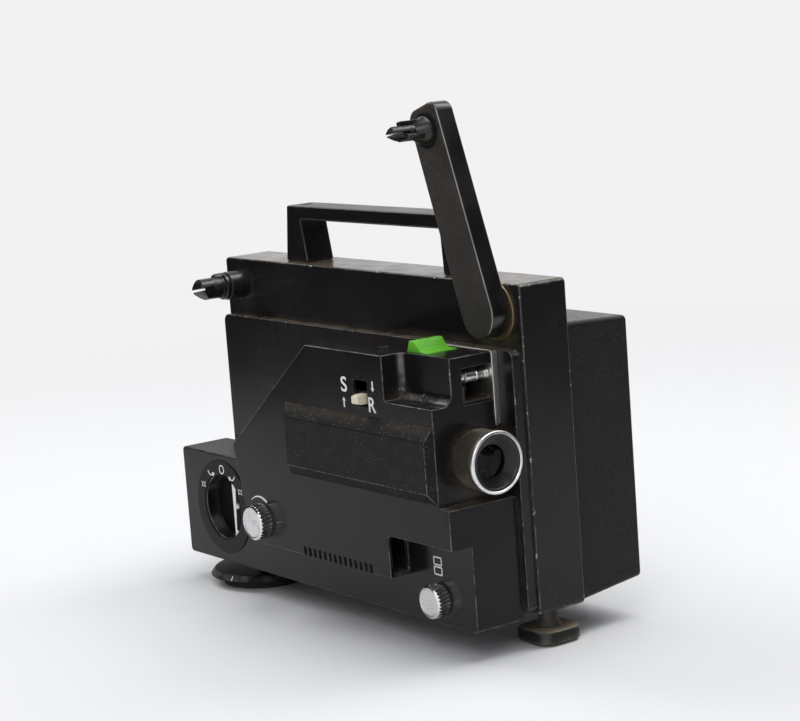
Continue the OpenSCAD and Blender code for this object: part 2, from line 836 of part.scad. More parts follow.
module front_foot() color("#262526") {
    translate([0, 0, pad_t - foot_h])
        linear_extrude(plate_foot_t)
            rounded(front_foot_x - front_foot_w / 2, front_foot_x + front_foot_w / 2,
                foot_y - front_foot_w / 2, foot_y + front_foot_w / 2, 9);
    cone_z(pad_t - foot_h, foot_collar_z, front_foot_x, foot_y, screw_r + 2.5, screw_r + 0.8);
    rod_z(pad_t - foot_h, foot_h - 2, front_foot_x, foot_y, screw_r);
}

module front_foot_pad() color("#1a1a1a")
    rod_z(-foot_h, pad_t - foot_h, front_foot_x, foot_y, front_foot_w / 2 - 3);

module rear_foot() color("#262526") {
    cone_z(-foot_h + 6, base_z - 7, rear_foot_x, rear_foot_y, rear_foot_r, rear_foot_r - 3);
    rod_z(base_z - 7, base_z, rear_foot_x, rear_foot_y, 5);
}

module rear_foot_pad() color("#1a1a1a")
    rod_z(-foot_h, -foot_h + 6, rear_foot_x, rear_foot_y, rear_foot_r - 8);

module side_foot() color("#1a1a1a")
    rod_z(-foot_h, 0, side_foot_x, side_foot_y, side_foot_r);

module motor() color("#8f8f8f")
    difference() {
        union() {
            rod_x(motor_x, motor_x + motor_l, motor_y, motor_z, motor_r);
            rod_x(motor_x - 3, motor_x + motor_l + 3, motor_y, motor_z, 6);
        }
        rod_x(motor_x - 4, motor_x + motor_l + 4, motor_y, motor_z, motor_shaft_r + run);
    }

module motor_bracket() color("#7d7d7b")
    difference() {
        block(motor_x + 12, motor_x + motor_l - 12, motor_y - 10, motor_y + 10,
            base_z + wall, motor_z - 6);
        rod_x(motor_x, motor_x + motor_l, motor_y, motor_z, motor_r + seat);
    }

module motor_shaft() color("#b0b0b0")
    rod_x(motor_x - 18, belt_x + pulley_w / 2 + 2, motor_y, motor_z, motor_shaft_r);

module cooling_fan() color("#3a3a3a")
    difference() {
        union() {
            rod_x(motor_x - 17, motor_x - 5, motor_y, motor_z, 5);
            for (i = [0:6])
                translate([motor_x - 17, motor_y, motor_z])
                    rotate([i * 360 / 7, 0, 0])
                        block(1, 11, 3.5, 12, -0.8, 0.8);
        }
        rod_x(motor_x - 18, motor_x, motor_y, motor_z, motor_shaft_r + seat);
    }

module motor_pulley() color("#50504e")
    difference() {
        rod_x(belt_x - pulley_w / 2, belt_x + pulley_w / 2, motor_y, motor_z, motor_pulley_r);
        rod_x(belt_x - pulley_w, belt_x + pulley_w, motor_y, motor_z, motor_shaft_r + seat);
    }

module drive_belt() color("#161616")
    yz_slab(belt_x - belt_w / 2, belt_x + belt_w / 2)
        belt_loop([motor_y, motor_z], motor_pulley_r, [shutter_y, shutter_z], shutter_pulley_r);

// Three blades on a hub
module shutter() color("#2f2f2f")
    difference() {
        union() {
            rod_x(shutter_x - 2.5, shutter_x + 3.5, shutter_y, shutter_z, 7);
            intersection() {
                rod_x(shutter_x, shutter_x + 1.2, shutter_y, shutter_z, shutter_r);
                for (turn = [0, 120, 240])
                    translate([shutter_x, shutter_y, shutter_z])
                        rotate([turn, 0, 0])
                            block(0, 1.2, -0.65 * shutter_r, 0.65 * shutter_r, 4, shutter_r);
            }
        }
        rod_x(shutter_x - 4, shutter_x + 5, shutter_y, shutter_z, shaft_r + seat);
    }

// Shutter shaft with its pulley and the worm that drives the cross shaft
module shutter_shaft() color("#a8a8a6") {
    rod_x(belt_x - pulley_w / 2 - 2, wheel_x + worm_l / 2 + 1, shutter_y, shutter_z, shaft_r);
    rod_x(belt_x - pulley_w / 2, belt_x + pulley_w / 2, shutter_y, shutter_z, shutter_pulley_r);
    rod_x(wheel_x - worm_l / 2, wheel_x + worm_l / 2, shutter_y, shutter_z, worm_r);
}

module worm_wheel() color("#b9a06a")
    difference() {
        rod_y(shutter_y - wheel_w / 2, shutter_y + wheel_w / 2, wheel_x, wheel_z, wheel_r);
        rod_y(shutter_y - wheel_w, shutter_y + wheel_w, wheel_x, wheel_z, shaft_r + seat);
    }

module drive_shaft() color("#a8a8a6") {
    rod_y(shutter_y - wheel_w / 2 - 1, reel_belt_y + pulley_w + 2, wheel_x, wheel_z, shaft_r);
    rod_y(reel_belt_y, reel_belt_y + pulley_w, wheel_x, wheel_z, reel_pulley_r);
    rod_y(reel_belt_y, reel_belt_y + 1, wheel_x, wheel_z, reel_pulley_r + 1.5);
}

// Angle frame on the side cover: bearing of the shutter shaft and seat of the film gate
module gate_frame() color("#9c9b98")
    difference() {
        union() {
            block(frame_x, frame_x + frame_t, shutter_y - 8, cover_y, shutter_z - 12, axis_z + 20);
            block(frame_x, aperture_x + 6, cover_y - 3, cover_y, axis_z - 6, axis_z + 20);
        }
        rod_x(frame_x - cut, frame_x + frame_t + cut, shutter_y, shutter_z, shaft_r + run);
        rod_x(frame_x - cut, frame_x + frame_t + cut, axis_y, axis_z, light_r);
    }

module aperture_plate() color("#c4c3c0")
    difference() {
        block(aperture_x, aperture_x + 1.5, cover_y - 3 - plate_side, cover_y - 3,
            axis_z - plate_h / 2, axis_z + plate_h / 2);
        block(aperture_x - cut, aperture_x + 3, axis_y - 2.9, axis_y + 2.9, axis_z - 2.1, axis_z + 2.1);
        block(aperture_x - cut, aperture_x + 3, axis_y - 6.5, axis_y - 4, axis_z - 4, axis_z + 8);
    }

module pressure_plate() color("#b8b7b4")
    difference() {
        block(aperture_x + 1.5 + gap, aperture_x + 3.5 + gap, axis_y - 6, cover_y - 3 - gap,
            axis_z - pressure_h / 2, axis_z + pressure_h / 2);
        rod_x(aperture_x, aperture_x + 6, axis_y, axis_z, 4.5);
    }

// Claw blade behind the aperture plate, with one finger through it
module claw() color("#cfcecb") {
    block(claw_x, claw_x + 1.2, axis_y - 9, axis_y - 4.6, axis_z - 8, axis_z + 12);
    block(claw_x, aperture_x + 1.4, axis_y - 6, axis_y - 4.6, axis_z - 1, axis_z + 1.5);
}

module lamp() color([0.8, 0.85, 0.9, 0.6]) {
    rod_x(lamp_x - 5, lamp_x + 8, axis_y, axis_z, 4);
    translate([lamp_x + 8, axis_y, axis_z])
        sphere(4);
}

// Bowl round the lamp, with a neck on the socket
module lamp_reflector() color("#dcdcdc")
    translate([lamp_x - 5, axis_y, axis_z])
        rotate([0, 90, 0])
            rotate_extrude()
                polygon([[4 + gap, 0], [socket_r, 0], [socket_r, 5], [11.5, 11], [reflector_r, reflector_l],
                    [reflector_r - 1.2, reflector_l], [10.2, 11.6], [4 + gap, 6.4]]);

module lamp_socket() color("#e0ddd4") {
    rod_x(lamp_x - 17, lamp_x - 5, axis_y, axis_z, socket_r);
    block(lamp_x - 16, lamp_x - 9, axis_y, cover_y, axis_z - 4, axis_z + 4);
}

module chassis_plate() color("#a5a5a3")
    block(wall, housing_l / 2 + 40, chassis_y, chassis_y + chassis_t, wall, rear_h - 20);

// Laminated core with its winding round the middle limb
module transformer() color("#6b5a48") {
    translate(iron_at)
        difference() {
            cube(iron);
            for (x = [11, iron[0] - 22])
                translate([x, -cut, 11])
                    cube([11, iron[1] + 2 * cut, iron[2] - 22]);
        }
    translate(iron_at + [11.5, 2, 11.5])
        cube([10, iron[1] - 4, iron[2] - 23]);
    translate(iron_at + [iron[0] - 21.5, 2, 11.5])
        cube([10, iron[1] - 4, iron[2] - 23]);
}

// Appliance inlet in the back, with its two round pins in a well
module mains_inlet() color("#1a1a1a")
    translate([inlet_x, back_y, inlet_socket_z])
        difference() {
            union() {
                block(0, inlet_socket[0], -16, 0, 0, inlet_socket[1]);
                block(-2, inlet_socket[0] + 2, -wall - 2, -wall, -2, inlet_socket[1] + 2);
            }
            difference() {
                block(2, inlet_socket[0] - 2, -13, cut, 2, inlet_socket[1] - 2);
                for (x = [-5, 5])
                    rod_y(-14, -4, inlet_socket[0] / 2 + x, inlet_socket[1] / 2, pin_r);
            }
        }

place() main_housing();
place() rear_cover();
place() side_cover();
place() base_casing();
place() front_cover();
place() lens_housing();
place() carry_handle();
place() handle_screws();
place() cover_screw();
place() lens_barrel();
place() focus_ring();
place() lens_trim_ring();
place() lens_bezel();
place() front_lens();
place() rear_lens();
place() film_guide_plate();
place() film_pins();
place() guide_roller();
place() film_sprocket();
place() thread_button();
place() direction_lever();
place() speed_knob();
place() framing_knob();
place() dial_ring();
place() selector_knob();
place() supply_arm();
place() arm_stud();
place() arm_washer();
place() supply_spindle();
place() takeup_bush();
place() takeup_spindle();
place() takeup_pulley();
place() takeup_belt();
place() front_foot();
place() front_foot_pad();
place() rear_foot();
place() rear_foot_pad();
place() side_foot();
place() motor();
place() motor_bracket();
place() motor_shaft();
place() cooling_fan();
place() motor_pulley();
place() drive_belt();
place() shutter();
place() shutter_shaft();
place() worm_wheel();
place() drive_shaft();
place() gate_frame();
place() aperture_plate();
place() pressure_plate();
place() claw();
place() lamp();
place() lamp_reflector();
place() lamp_socket();
place() chassis_plate();
place() transformer();
place() mains_inlet();
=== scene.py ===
"""Looks of the movie projector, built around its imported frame.

Sizes are in millimetres in the part's own frame: X from the rear end of the housing towards the lens,
Y from the film-side face to the back, Z up from the bottom of the housing. at() turns them into metres.
"""

import json
import math

import bmesh
import bpy
from mathutils import Matrix, Vector


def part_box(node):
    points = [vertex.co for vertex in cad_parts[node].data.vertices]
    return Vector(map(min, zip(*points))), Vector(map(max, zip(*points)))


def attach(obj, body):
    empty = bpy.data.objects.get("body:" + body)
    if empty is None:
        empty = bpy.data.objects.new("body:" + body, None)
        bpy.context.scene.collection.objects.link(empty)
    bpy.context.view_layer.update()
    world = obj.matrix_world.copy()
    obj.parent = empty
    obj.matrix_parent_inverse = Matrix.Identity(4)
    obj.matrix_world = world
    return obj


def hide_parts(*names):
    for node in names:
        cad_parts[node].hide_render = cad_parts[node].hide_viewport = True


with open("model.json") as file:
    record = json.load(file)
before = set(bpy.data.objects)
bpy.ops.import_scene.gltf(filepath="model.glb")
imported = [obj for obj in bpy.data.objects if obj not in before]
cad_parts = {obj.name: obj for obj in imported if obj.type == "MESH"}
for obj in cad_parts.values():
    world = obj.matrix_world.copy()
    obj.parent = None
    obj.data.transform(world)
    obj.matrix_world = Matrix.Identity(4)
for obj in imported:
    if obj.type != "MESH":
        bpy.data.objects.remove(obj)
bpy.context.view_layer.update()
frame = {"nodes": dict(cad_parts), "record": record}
MM = 0.001
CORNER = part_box("main_housing")[0]
BODY_OF = {n: b for b, ns in frame["record"]["behaviour"]["bodies"].items() for n in ns}


def at(x, y, z):
    """A place in the part's own frame, in metres."""
    return CORNER + MM * Vector((x, y, z))


def own(place):
    """A place in metres as millimetres in the part's own frame."""
    return (place - CORNER) / MM


def box_of(node):
    """A node's low and high corners, in millimetres in the part's own frame."""
    low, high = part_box(node)
    return own(low), own(high)


# Shader maths

class Socket:
    """A node's output. Arithmetic on it adds Math nodes."""

    def __init__(self, paint, out):
        self.paint, self.out = paint, out

    def _math(self, operation, a, b):
        return self.paint.node("ShaderNodeMath", {"operation": operation}, {0: a, 1: b})

    def __add__(self, other):
        return self._math("ADD", self, other)

    __radd__ = __add__

    def __sub__(self, other):
        return self._math("SUBTRACT", self, other)

    def __rsub__(self, other):
        return self._math("SUBTRACT", other, self)

    def __mul__(self, other):
        return self._math("MULTIPLY", self, other)

    __rmul__ = __mul__

    def clip(self):
        return self._math("MINIMUM", self._math("MAXIMUM", self, 0), 1)

    def larger(self, other):
        return self._math("MAXIMUM", self, other)

    def size(self):
        return self._math("ABSOLUTE", self, 0)


class Paint:
    """A material with one Principled shader and the nodes that feed it."""

    def __init__(self, name, constants=None):
        self.material = bpy.data.materials.new(name)
        self.material.use_nodes = True
        self.tree = self.material.node_tree
        self.shader = self.tree.nodes["Principled BSDF"]
        self.feed(constants or {})

    def node(self, kind, settings=None, sockets=None, out=0):
        made = self.tree.nodes.new(kind)
        for key, value in (settings or {}).items():
            setattr(made, key, value)
        for key, value in (sockets or {}).items():
            self.plug(made.inputs[key], value)
        return Socket(self, made.outputs[out])

    def plug(self, target, value):
        if isinstance(value, Socket):
            self.tree.links.new(value.out, target)
        else:
            target.default_value = value

    def feed(self, sockets):
        for key, value in sockets.items():
            self.plug(self.shader.inputs[key], value)

    def place(self, stretch=(1, 1, 1)):
        """Where a point lies on its piece, in millimetres."""
        raw = self.node("ShaderNodeTexCoord", out="Object")
        scale = tuple(s / MM for s in stretch)
        return self.node("ShaderNodeVectorMath", {"operation": "MULTIPLY"}, {0: raw, 1: scale})

    def noise(self, spot, scale, detail=3, roughness=0.5):
        return self.node("ShaderNodeTexNoise", None,
                         {"Vector": spot, "Scale": scale, "Detail": detail, "Roughness": roughness})

    def cells(self, spot, scale, feature="F1"):
        return self.node("ShaderNodeTexVoronoi", {"feature": feature}, {"Vector": spot, "Scale": scale})

    def step(self, value, low, high):
        return self.node("ShaderNodeMapRange", {"interpolation_type": "SMOOTHSTEP"},
                         {"Value": value, "From Min": low, "From Max": high})

    def blend(self, share, a, b):
        return self.node("ShaderNodeMix", {"data_type": "RGBA"}, {0: share, 6: a, 7: b}, out=2)

    def hollow(self, reach):
        """High in corners and under ledges, within reach in millimetres."""
        return 1 - self.node("ShaderNodeAmbientOcclusion", {"samples": 4}, {"Distance": reach * MM}, out="AO")

    def rim(self, radius):
        """High along edges, within radius in millimetres."""
        soft = self.node("ShaderNodeBevel", {"samples": 4}, {"Radius": radius * MM})
        flat = self.node("ShaderNodeNewGeometry", out="Normal")
        return 1 - self.node("ShaderNodeVectorMath", {"operation": "DOT_PRODUCT"}, {0: soft, 1: flat}, out=1)

    def turning(self):
        """High on rounded edges, where the surface faces along no axis of its piece."""
        x, y, z = (self.facing(axis).size() for axis in "XYZ")
        return 1 - x.larger(y).larger(z)

    def facing(self, axis):
        """How far the surface faces along an axis of its piece."""
        normal = self.node("ShaderNodeTexCoord", out="Normal")
        return self.along(normal, axis)

    def along(self, spot, axis):
        """One coordinate of a place."""
        return self.node("ShaderNodeSeparateXYZ", None, {0: spot}, out=axis)

    def bump(self, height, depth, strength=1.0):
        return self.node("ShaderNodeBump", None,
                         {"Height": height, "Distance": depth * MM, "Strength": strength})


def shade(colour, factor):
    return tuple(c * factor for c in colour[:3]) + (1,)


# Finishes

DUST = (0.132, 0.107, 0.078, 1)
# Light tone of rounded edges: partly wear, partly painted highlight
RUB_AND_HIGHLIGHT_TONE = (0.3, 0.29, 0.28, 1)
CHIP = (0.62, 0.6, 0.57, 1)
SPECK = (0.5, 0.47, 0.42, 1)
BLACK = (0.0105, 0.0098, 0.0106)
DEEP = (0.005, 0.0045, 0.004, 1)


def moulding(name, tone=BLACK, roughness=0.25, dust=0.4, rub_and_highlight_share=0.35, chips=0.0, grain=0.012, settled=0.6,
             specular=0.28, top_rough=0.0, rear_edge_highlight=0.0, dust_tone=DUST, low_ledge=0.0):
    """Satin black plastic: clouded tone, dust in corners and on ledges, rubbed edges lightened with a painted
    highlight, and paint chips.

    Faces that look up below the height low_ledge, in millimetres, are dustier.
    """
    paint = Paint(name, {"Specular IOR Level": specular})
    spot = paint.place()
    cloud = paint.noise(spot, 0.02, 4, 0.6)
    patchy = paint.step(paint.noise(spot, 0.07, 6, 0.65), 0.32, 0.68)
    corner = paint.step(paint.hollow(11), 0.2, 0.75)
    lying = paint.step(paint.facing("Z"), 0.75, 0.97)
    dusty = ((corner * (0.3 + 0.9 * patchy) + lying * settled * (0.5 + 0.35 * patchy)) * dust).clip()
    if low_ledge:
        height = paint.along(spot, "Z")
        low = lying * paint.step(height, low_ledge + 4, low_ledge)
        dusty = (dusty + low * (0.15 + 0.75 * patchy)).clip()
    sloped = paint.step(paint.facing("X"), -0.3, -0.5) * paint.step(paint.facing("Y").size(), 0.12, 0.02)
    edge = paint.step(paint.turning(), 0.03, 0.2) * (1 - corner) * (1 - sloped)
    nibble = paint.step(paint.noise(spot, 0.1, 5, 0.7), 0.36, 0.62)
    # Rounded edges lightened in broken patches, partly as wear and partly as a painted highlight
    rub_and_highlight = edge * (0.12 + 0.88 * nibble) * rub_and_highlight_share
    # Edges that face the rear end get a painted highlight
    if rear_edge_highlight:
        rub_and_highlight = (rub_and_highlight + edge * paint.step(paint.facing("X"), -0.15, -0.4) * rear_edge_highlight).clip()
    colour = paint.blend(cloud, shade(tone, 0.75), shade(tone, 1.3))
    colour = paint.blend(dusty, colour, dust_tone)
    colour = paint.blend(rub_and_highlight, colour, RUB_AND_HIGHLIGHT_TONE)
    if chips:
        flaked = paint.step(paint.noise(spot, 0.25, 5, 0.75), 0.6, 0.63)
        near_edge = paint.step(paint.turning(), 0.01, 0.05) * (1 - sloped)
        colour = paint.blend(near_edge * flaked * chips, colour, CHIP)
    fine = paint.noise(spot, 2.4, 2)
    paint.feed({
        "Base Color": colour,
        "Roughness": (roughness + 0.22 * (cloud - 0.5) + 0.35 * dusty + top_rough * lying).clip(),
        "Normal": paint.bump(fine, grain),
    })
    return paint.material


def leather_grain(name):
    """Black plastic with a leather grain of small wrinkled cells."""
    paint = Paint(name, {"Specular IOR Level": 0.21})
    spot = paint.place()
    wander = paint.noise(spot, 0.35, 3)
    bent = paint.node("ShaderNodeVectorMath", {"operation": "ADD"},
                      {0: paint.place((0.55, 1, 1)), 1: wander})
    cell = paint.cells(bent, 0.62, "SMOOTH_F1")
    crease = paint.noise(paint.place((0.35, 1, 1.1)), 0.9, 4, 0.6)
    cloud = paint.noise(spot, 0.018, 3)
    corner = paint.step(paint.hollow(8), 0.3, 0.95)
    lying = paint.step(paint.facing("Z"), 0.75, 0.97)
    dusty = (corner * 0.35 + lying * (0.14 + 0.16 * paint.noise(spot, 0.06, 5))).clip()
    colour = paint.blend(cell, shade(BLACK, 1.25), shade(BLACK, 0.7))
    colour = paint.blend(dusty, colour, DUST)
    paint.feed({
        "Base Color": colour,
        "Roughness": (0.4 + 0.2 * cell + 0.15 * (cloud - 0.5) + 0.3 * dusty - 0.25 * lying).clip(),
        "Normal": paint.bump(1 - cell + 0.7 * crease, 0.32, 0.8),
    })
    return paint.material


def wrinkle(name):
    """Wrinkle finish with light specks, painted shade on its slope and underside, dust at the slope's top, a
    painted shade line along the slope's edge, and lower and end edges lightened as wear and painted highlight.
    """
    paint = Paint(name, {"Specular IOR Level": 0.1})
    spot = paint.place()
    rough = paint.noise(spot, 1.3, 4, 0.65)
    up = paint.facing("Z")
    slope, under = paint.step(up, 0.35, 0.6), paint.step(up, -0.35, -0.6)
    clump = paint.step(paint.noise(spot, 0.11, 4, 0.6), 0.42, 0.58)
    speck = paint.step(paint.cells(spot, 1.05), 0.2, 0.11) * clump
    height = paint.along(spot, "Z")
    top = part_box("lens_housing")[1][2] / MM
    near_top = paint.step(height, top - 6, top - 2)
    patchy = paint.step(paint.noise(paint.place((0.3, 1, 1)), 0.1, 5, 0.6), 0.3, 0.7)
    dusty = ((slope * near_top * 0.85 + under * 0.35) * (0.2 + 0.8 * patchy)).clip()
    # Painted shade: the slope and the underside are darker than the face
    colour = paint.blend((slope + under).clip(), shade(BLACK, 1.7), shade(BLACK, 0.25))
    colour = paint.blend(dusty, colour, shade(DUST, 0.36))
    colour = paint.blend(speck * (0.55 + 0.45 * slope), colour, SPECK)
    # Painted shade: a dark line along the edge between the face and the slope
    edge_shade_line = paint.step(up, 0.06, 0.2) * paint.step(up, 0.52, 0.36)
    colour = paint.blend(edge_shade_line * 0.9, colour, (0.002, 0.002, 0.002, 1))
    # Lower and end edges lightened, partly as wear and partly as a painted highlight
    rubbed_and_highlit = paint.step(paint.noise(spot, 0.5, 5, 0.7), 0.38, 0.6)
    lower_edge = paint.step(up, -0.06, -0.2) * paint.step(up, -0.52, -0.36)
    end_edge = paint.step(paint.facing("X"), 0.1, 0.3) * paint.step(paint.facing("Y"), -0.3, -0.5)
    colour = paint.blend((lower_edge + end_edge).clip() * rubbed_and_highlit * 0.6, colour, RUB_AND_HIGHLIGHT_TONE)
    paint.feed({
        "Base Color": colour,
        "Roughness": (0.5 + 0.2 * dusty + 0.1 * rough).clip(),
        "Normal": paint.bump(rough, 0.16, 0.7),
    })
    return paint.material


def arm_texture(name):
    """Fine speckled face with a brown cast, smooth and glossy on the sides, with a painted highlight along the
    edges that face the lens end.
    """
    paint = Paint(name, {"Specular IOR Level": 0.5})
    spot = paint.place()
    face = paint.step(paint.facing("Y"), -0.85, -0.97)
    grit = paint.noise(spot, 1.25, 4, 0.75)
    cloud = paint.step(paint.noise(spot, 0.035, 4), 0.3, 0.7)
    brown = paint.blend((paint.step(grit, 0.35, 0.7) * (0.45 + 0.55 * cloud)).clip(),
                        (0.008, 0.0066, 0.0054, 1), (0.064, 0.049, 0.037, 1))
    side = paint.blend(cloud, shade(BLACK, 0.8), shade(BLACK, 1.35))
    corner = paint.step(paint.hollow(5), 0.3, 0.9)
    colour = paint.blend(face, side, brown)
    colour = paint.blend(corner * 0.35, colour, DUST)
    sideways = paint.facing("Y").size()
    edge = paint.step(sideways, 0.5, 0.72) * paint.step(sideways, 0.97, 0.8)
    lens_side = paint.step(paint.facing("X"), 0.42, 0.6)
    # Painted highlight along the rounded edges facing the lens end, faint on the other edges
    rubbed_and_highlit = edge * (0.06 + lens_side * (0.45 + 0.5 * cloud)) * (1 - corner)
    colour = paint.blend(rubbed_and_highlit, colour, shade(RUB_AND_HIGHLIGHT_TONE, 1.5))
    paint.feed({
        "Base Color": colour,
        "Roughness": (0.2 + 0.34 * face + 0.08 * cloud).clip(),
        "Normal": paint.bump(grit * face, 0.1, 0.6),
    })
    return paint.material


def plain_plastic(name, tone, roughness, grime=0.3, grain=0.006, specular=0.5, dark_from=None):
    """Moulded plastic of one colour with grime in its corners, black behind dark_from on the film side."""
    paint = Paint(name, {"Specular IOR Level": specular})
    spot = paint.place()
    cloud = paint.noise(spot, 0.12, 4)
    corner = paint.step(paint.hollow(4), 0.3, 0.95)
    edge = paint.step(paint.rim(0.5), 0.05, 0.3)
    colour = paint.blend(cloud, shade(tone, 0.88), shade(tone, 1.1))
    colour = paint.blend(edge * 0.25, colour, tuple(min(1, c * 1.4 + 0.01) for c in tone[:3]) + (1,))
    colour = paint.blend(corner * grime, colour, shade(DUST, 0.6))
    if dark_from is not None:
        depth = paint.along(spot, "Y")
        start = at(0, dark_from, 0).y / MM
        colour = paint.blend(paint.step(depth, start, start + 0.5), colour, DEEP)
    paint.feed({
        "Base Color": colour,
        "Roughness": (roughness + 0.16 * (cloud - 0.5) + 0.15 * corner).clip(),
        "Normal": paint.bump(paint.noise(spot, 3, 2), grain),
    })
    return paint.material


def ribbed_plastic(name):
    """Black plastic, brown with dust on its upper side and painted dark on its lower side as shade, with painted
    shade in the grooves between its ribs.
    """
    paint = Paint(name, {"Specular IOR Level": 0.3})
    spot = paint.place()
    low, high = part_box("focus_ring")
    middle = (low + high) / 2 / MM
    radius = (high.z - low.z) / 2 / MM
    from_axis = paint.node("ShaderNodeVectorMath", {"operation": "DISTANCE"},
                           {0: paint.place((0, 1, 1)), 1: (0, middle.y, middle.z)}, out=1)
    cloud = paint.step(paint.noise(spot, 0.15, 4), 0.3, 0.7)
    groove_shade = paint.step(from_axis, radius - 0.2, radius - 0.42)
    # Dust on the upper side, painted shade on the lower side
    dusty_top_shaded_bottom = paint.step(paint.facing("Z"), -0.7, 0.5)
    colour = paint.blend(dusty_top_shaded_bottom * (0.6 + 0.4 * cloud), (0.03, 0.025, 0.02, 1), (0.21, 0.176, 0.142, 1))
    # Painted shade in the grooves
    colour = paint.blend(groove_shade, colour, (0.004, 0.0036, 0.003, 1))
    paint.feed({
        "Base Color": colour,
        "Roughness": (0.45 + 0.2 * cloud).clip(),
        "Normal": paint.bump(paint.noise(spot, 3, 2), 0.01),
    })
    return paint.material


def metal(name, tone, roughness, grime=0.3, streak=(1, 1, 1), scale=0.8, settled=0.0):
    """Bright metal with smears, fine drawing lines and grime in its corners."""
    paint = Paint(name)
    spot = paint.place()
    smear = paint.noise(spot, 0.09, 5, 0.6)
    lines = paint.noise(paint.place(streak), scale, 4, 0.6)
    corner = paint.step(paint.hollow(3), 0.3, 0.95)
    colour = paint.blend(smear, shade(tone, 0.86), shade(tone, 1.06))
    colour = paint.blend(paint.step(lines, 0.48, 0.72) * 0.45, colour, shade(tone, 0.45))
    lying = paint.step(paint.facing("Z"), 0.7, 0.95) * settled
    colour = paint.blend((corner * grime + lying).clip(), colour, shade(DUST, 0.9))
    paint.feed({
        "Base Color": colour,
        "Metallic": 1 - lying,
        "Roughness": (roughness + 0.18 * (smear - 0.5) + 0.12 * (lines - 0.5) + 0.2 * corner * grime).clip(),
        "Normal": paint.bump(lines, 0.006, 0.5),
    })
    return paint.material


def glass(name, tone, roughness=0.02, bend=1.5):
    """Clear glass with faint smears."""
    paint = Paint(name, {"Transmission Weight": 1.0, "IOR": bend})
    smear = paint.noise(paint.place(), 0.2, 4)
    paint.feed({
        "Base Color": paint.blend(smear, shade(tone, 0.9), shade(tone, 1.0)),
        "Roughness": (roughness + 0.02 * paint.step(smear, 0.5, 0.8)).clip(),
    })
    return paint.material


FINISH = {
    "body": moulding("housing_black", chips=0.9, dust=0.85, settled=1.3, rub_and_highlight_share=0.3, top_rough=-0.3),
    "ledge": moulding("side_cover_black", chips=0.7, dust=0.6, settled=1.5, rub_and_highlight_share=0.3, top_rough=-0.2),
    "panel": moulding("cover_black", dust=0.6, rub_and_highlight_share=0.6, chips=0.4, settled=0.12, roughness=0.2,
                      specular=0.17, rear_edge_highlight=0.9, low_ledge=100),
    "base": moulding("base_black", dust=0.5, rub_and_highlight_share=0.4, settled=0.15, roughness=0.2, specular=0.2,
                     top_rough=0.22),
    "handle": moulding("handle_black", tone=shade(BLACK, 0.9), dust=0.4, rub_and_highlight_share=0.25, settled=0.9),
    "foot": moulding("foot_black", tone=shade(BLACK, 0.8), roughness=0.45, dust=1.0, rub_and_highlight_share=0.2, settled=1.6,
                     dust_tone=(0.25, 0.205, 0.145, 1)),
    "rear_foot": moulding("rear_foot_black", tone=shade(BLACK, 0.3), roughness=0.4, dust=0.06, rub_and_highlight_share=0.3,
                          settled=0.1, specular=0.06),
    "grain": leather_grain("rear_cover_grain"),
    "wrinkle": wrinkle("lens_housing_wrinkle"),
    "arm": arm_texture("arm_texture"),
    "gloss": plain_plastic("spindle_black", (0.013, 0.0115, 0.010), 0.26, grime=0.7),
    "ring": ribbed_plastic("focus_ring_black"),
    "bezel": plain_plastic("bezel_black", (0.016, 0.0138, 0.0115), 0.3, grime=0.5, specular=0.4),
    "bore": plain_plastic("bore_black", (0.008, 0.007, 0.006), 0.3, grime=0.2, specular=0.4),
    # Painted shade: the selector is near black for the shade of its deep well, and the dial ring is black behind
    # dark_from as shade on the well's inner wall
    "well": plain_plastic("selector_black", (0.004, 0.004, 0.004), 0.7, grime=0.1, specular=0.15),
    "dial": plain_plastic("dial_black", (0.019, 0.018, 0.019), 0.5, grime=0.3, specular=0.14,
                          dark_from=box_of("dial_ring")[0].y + 0.6),
    "channel": plain_plastic("channel_brown", (0.05, 0.039, 0.03), 0.5, grime=0.5),
    "green": plain_plastic("button_green", (0.16, 0.62, 0.032), 0.38, grime=0.4),
    "cream": plain_plastic("lever_cream", (0.86, 0.80, 0.63), 0.42, grime=0.5),
    "lever": plain_plastic("lever_cream_and_black", (0.84, 0.77, 0.58), 0.42, grime=0.5, dark_from=-52.9),
    "white": plain_plastic("mark_white", (0.93, 0.92, 0.89), 0.5, grime=0.1),
    "chrome": metal("chrome", (0.92, 0.92, 0.93), 0.08, grime=0.7),
    "trim": metal("lens_trim", (0.88, 0.88, 0.88), 0.36, grime=0.2),
    "knob_face": metal("knob_face", (0.76, 0.76, 0.765), 0.34, streak=(0.25, 1, 1), scale=0.9, grime=0.2),
    "steel": metal("steel", (0.6, 0.59, 0.58), 0.3),
    "plate": metal("guide_plate", (0.8, 0.78, 0.74), 0.42, grime=0.5, streak=(1, 1, 0.1), settled=1.0),
    "alloy": metal("alloy", (0.6, 0.6, 0.58), 0.42),
    "washer": metal("pivot_washer", (0.30, 0.23, 0.14), 0.5, grime=0.9),
    "mirror": metal("reflector", (0.88, 0.88, 0.88), 0.05, grime=0.1),
    "rubber": plain_plastic("rubber", (0.012, 0.012, 0.012), 0.75, grime=0.6, grain=0.03),
    "iron": plain_plastic("varnished_iron", (0.16, 0.11, 0.07), 0.4, grime=0.4, grain=0.03),
    "ceramic": plain_plastic("ceramic", (0.72, 0.69, 0.62), 0.6, grime=0.4),
    "lens": glass("lens_glass", (0.5, 0.42, 0.34), 0.0, 1.2),
    "bulb": glass("lamp_glass", (0.95, 0.96, 0.97)),
}


# Making pieces

def add_piece(name, mesh, body, finish, replaced=()):
    """A mesh as a piece on a body, in the finish's material."""
    piece = bpy.data.objects.new(name, mesh)
    bpy.context.scene.collection.objects.link(piece)
    mesh.materials.clear()
    mesh.materials.append(FINISH[finish])
    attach(piece, body)
    for node in replaced:
        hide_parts(node)
    return piece


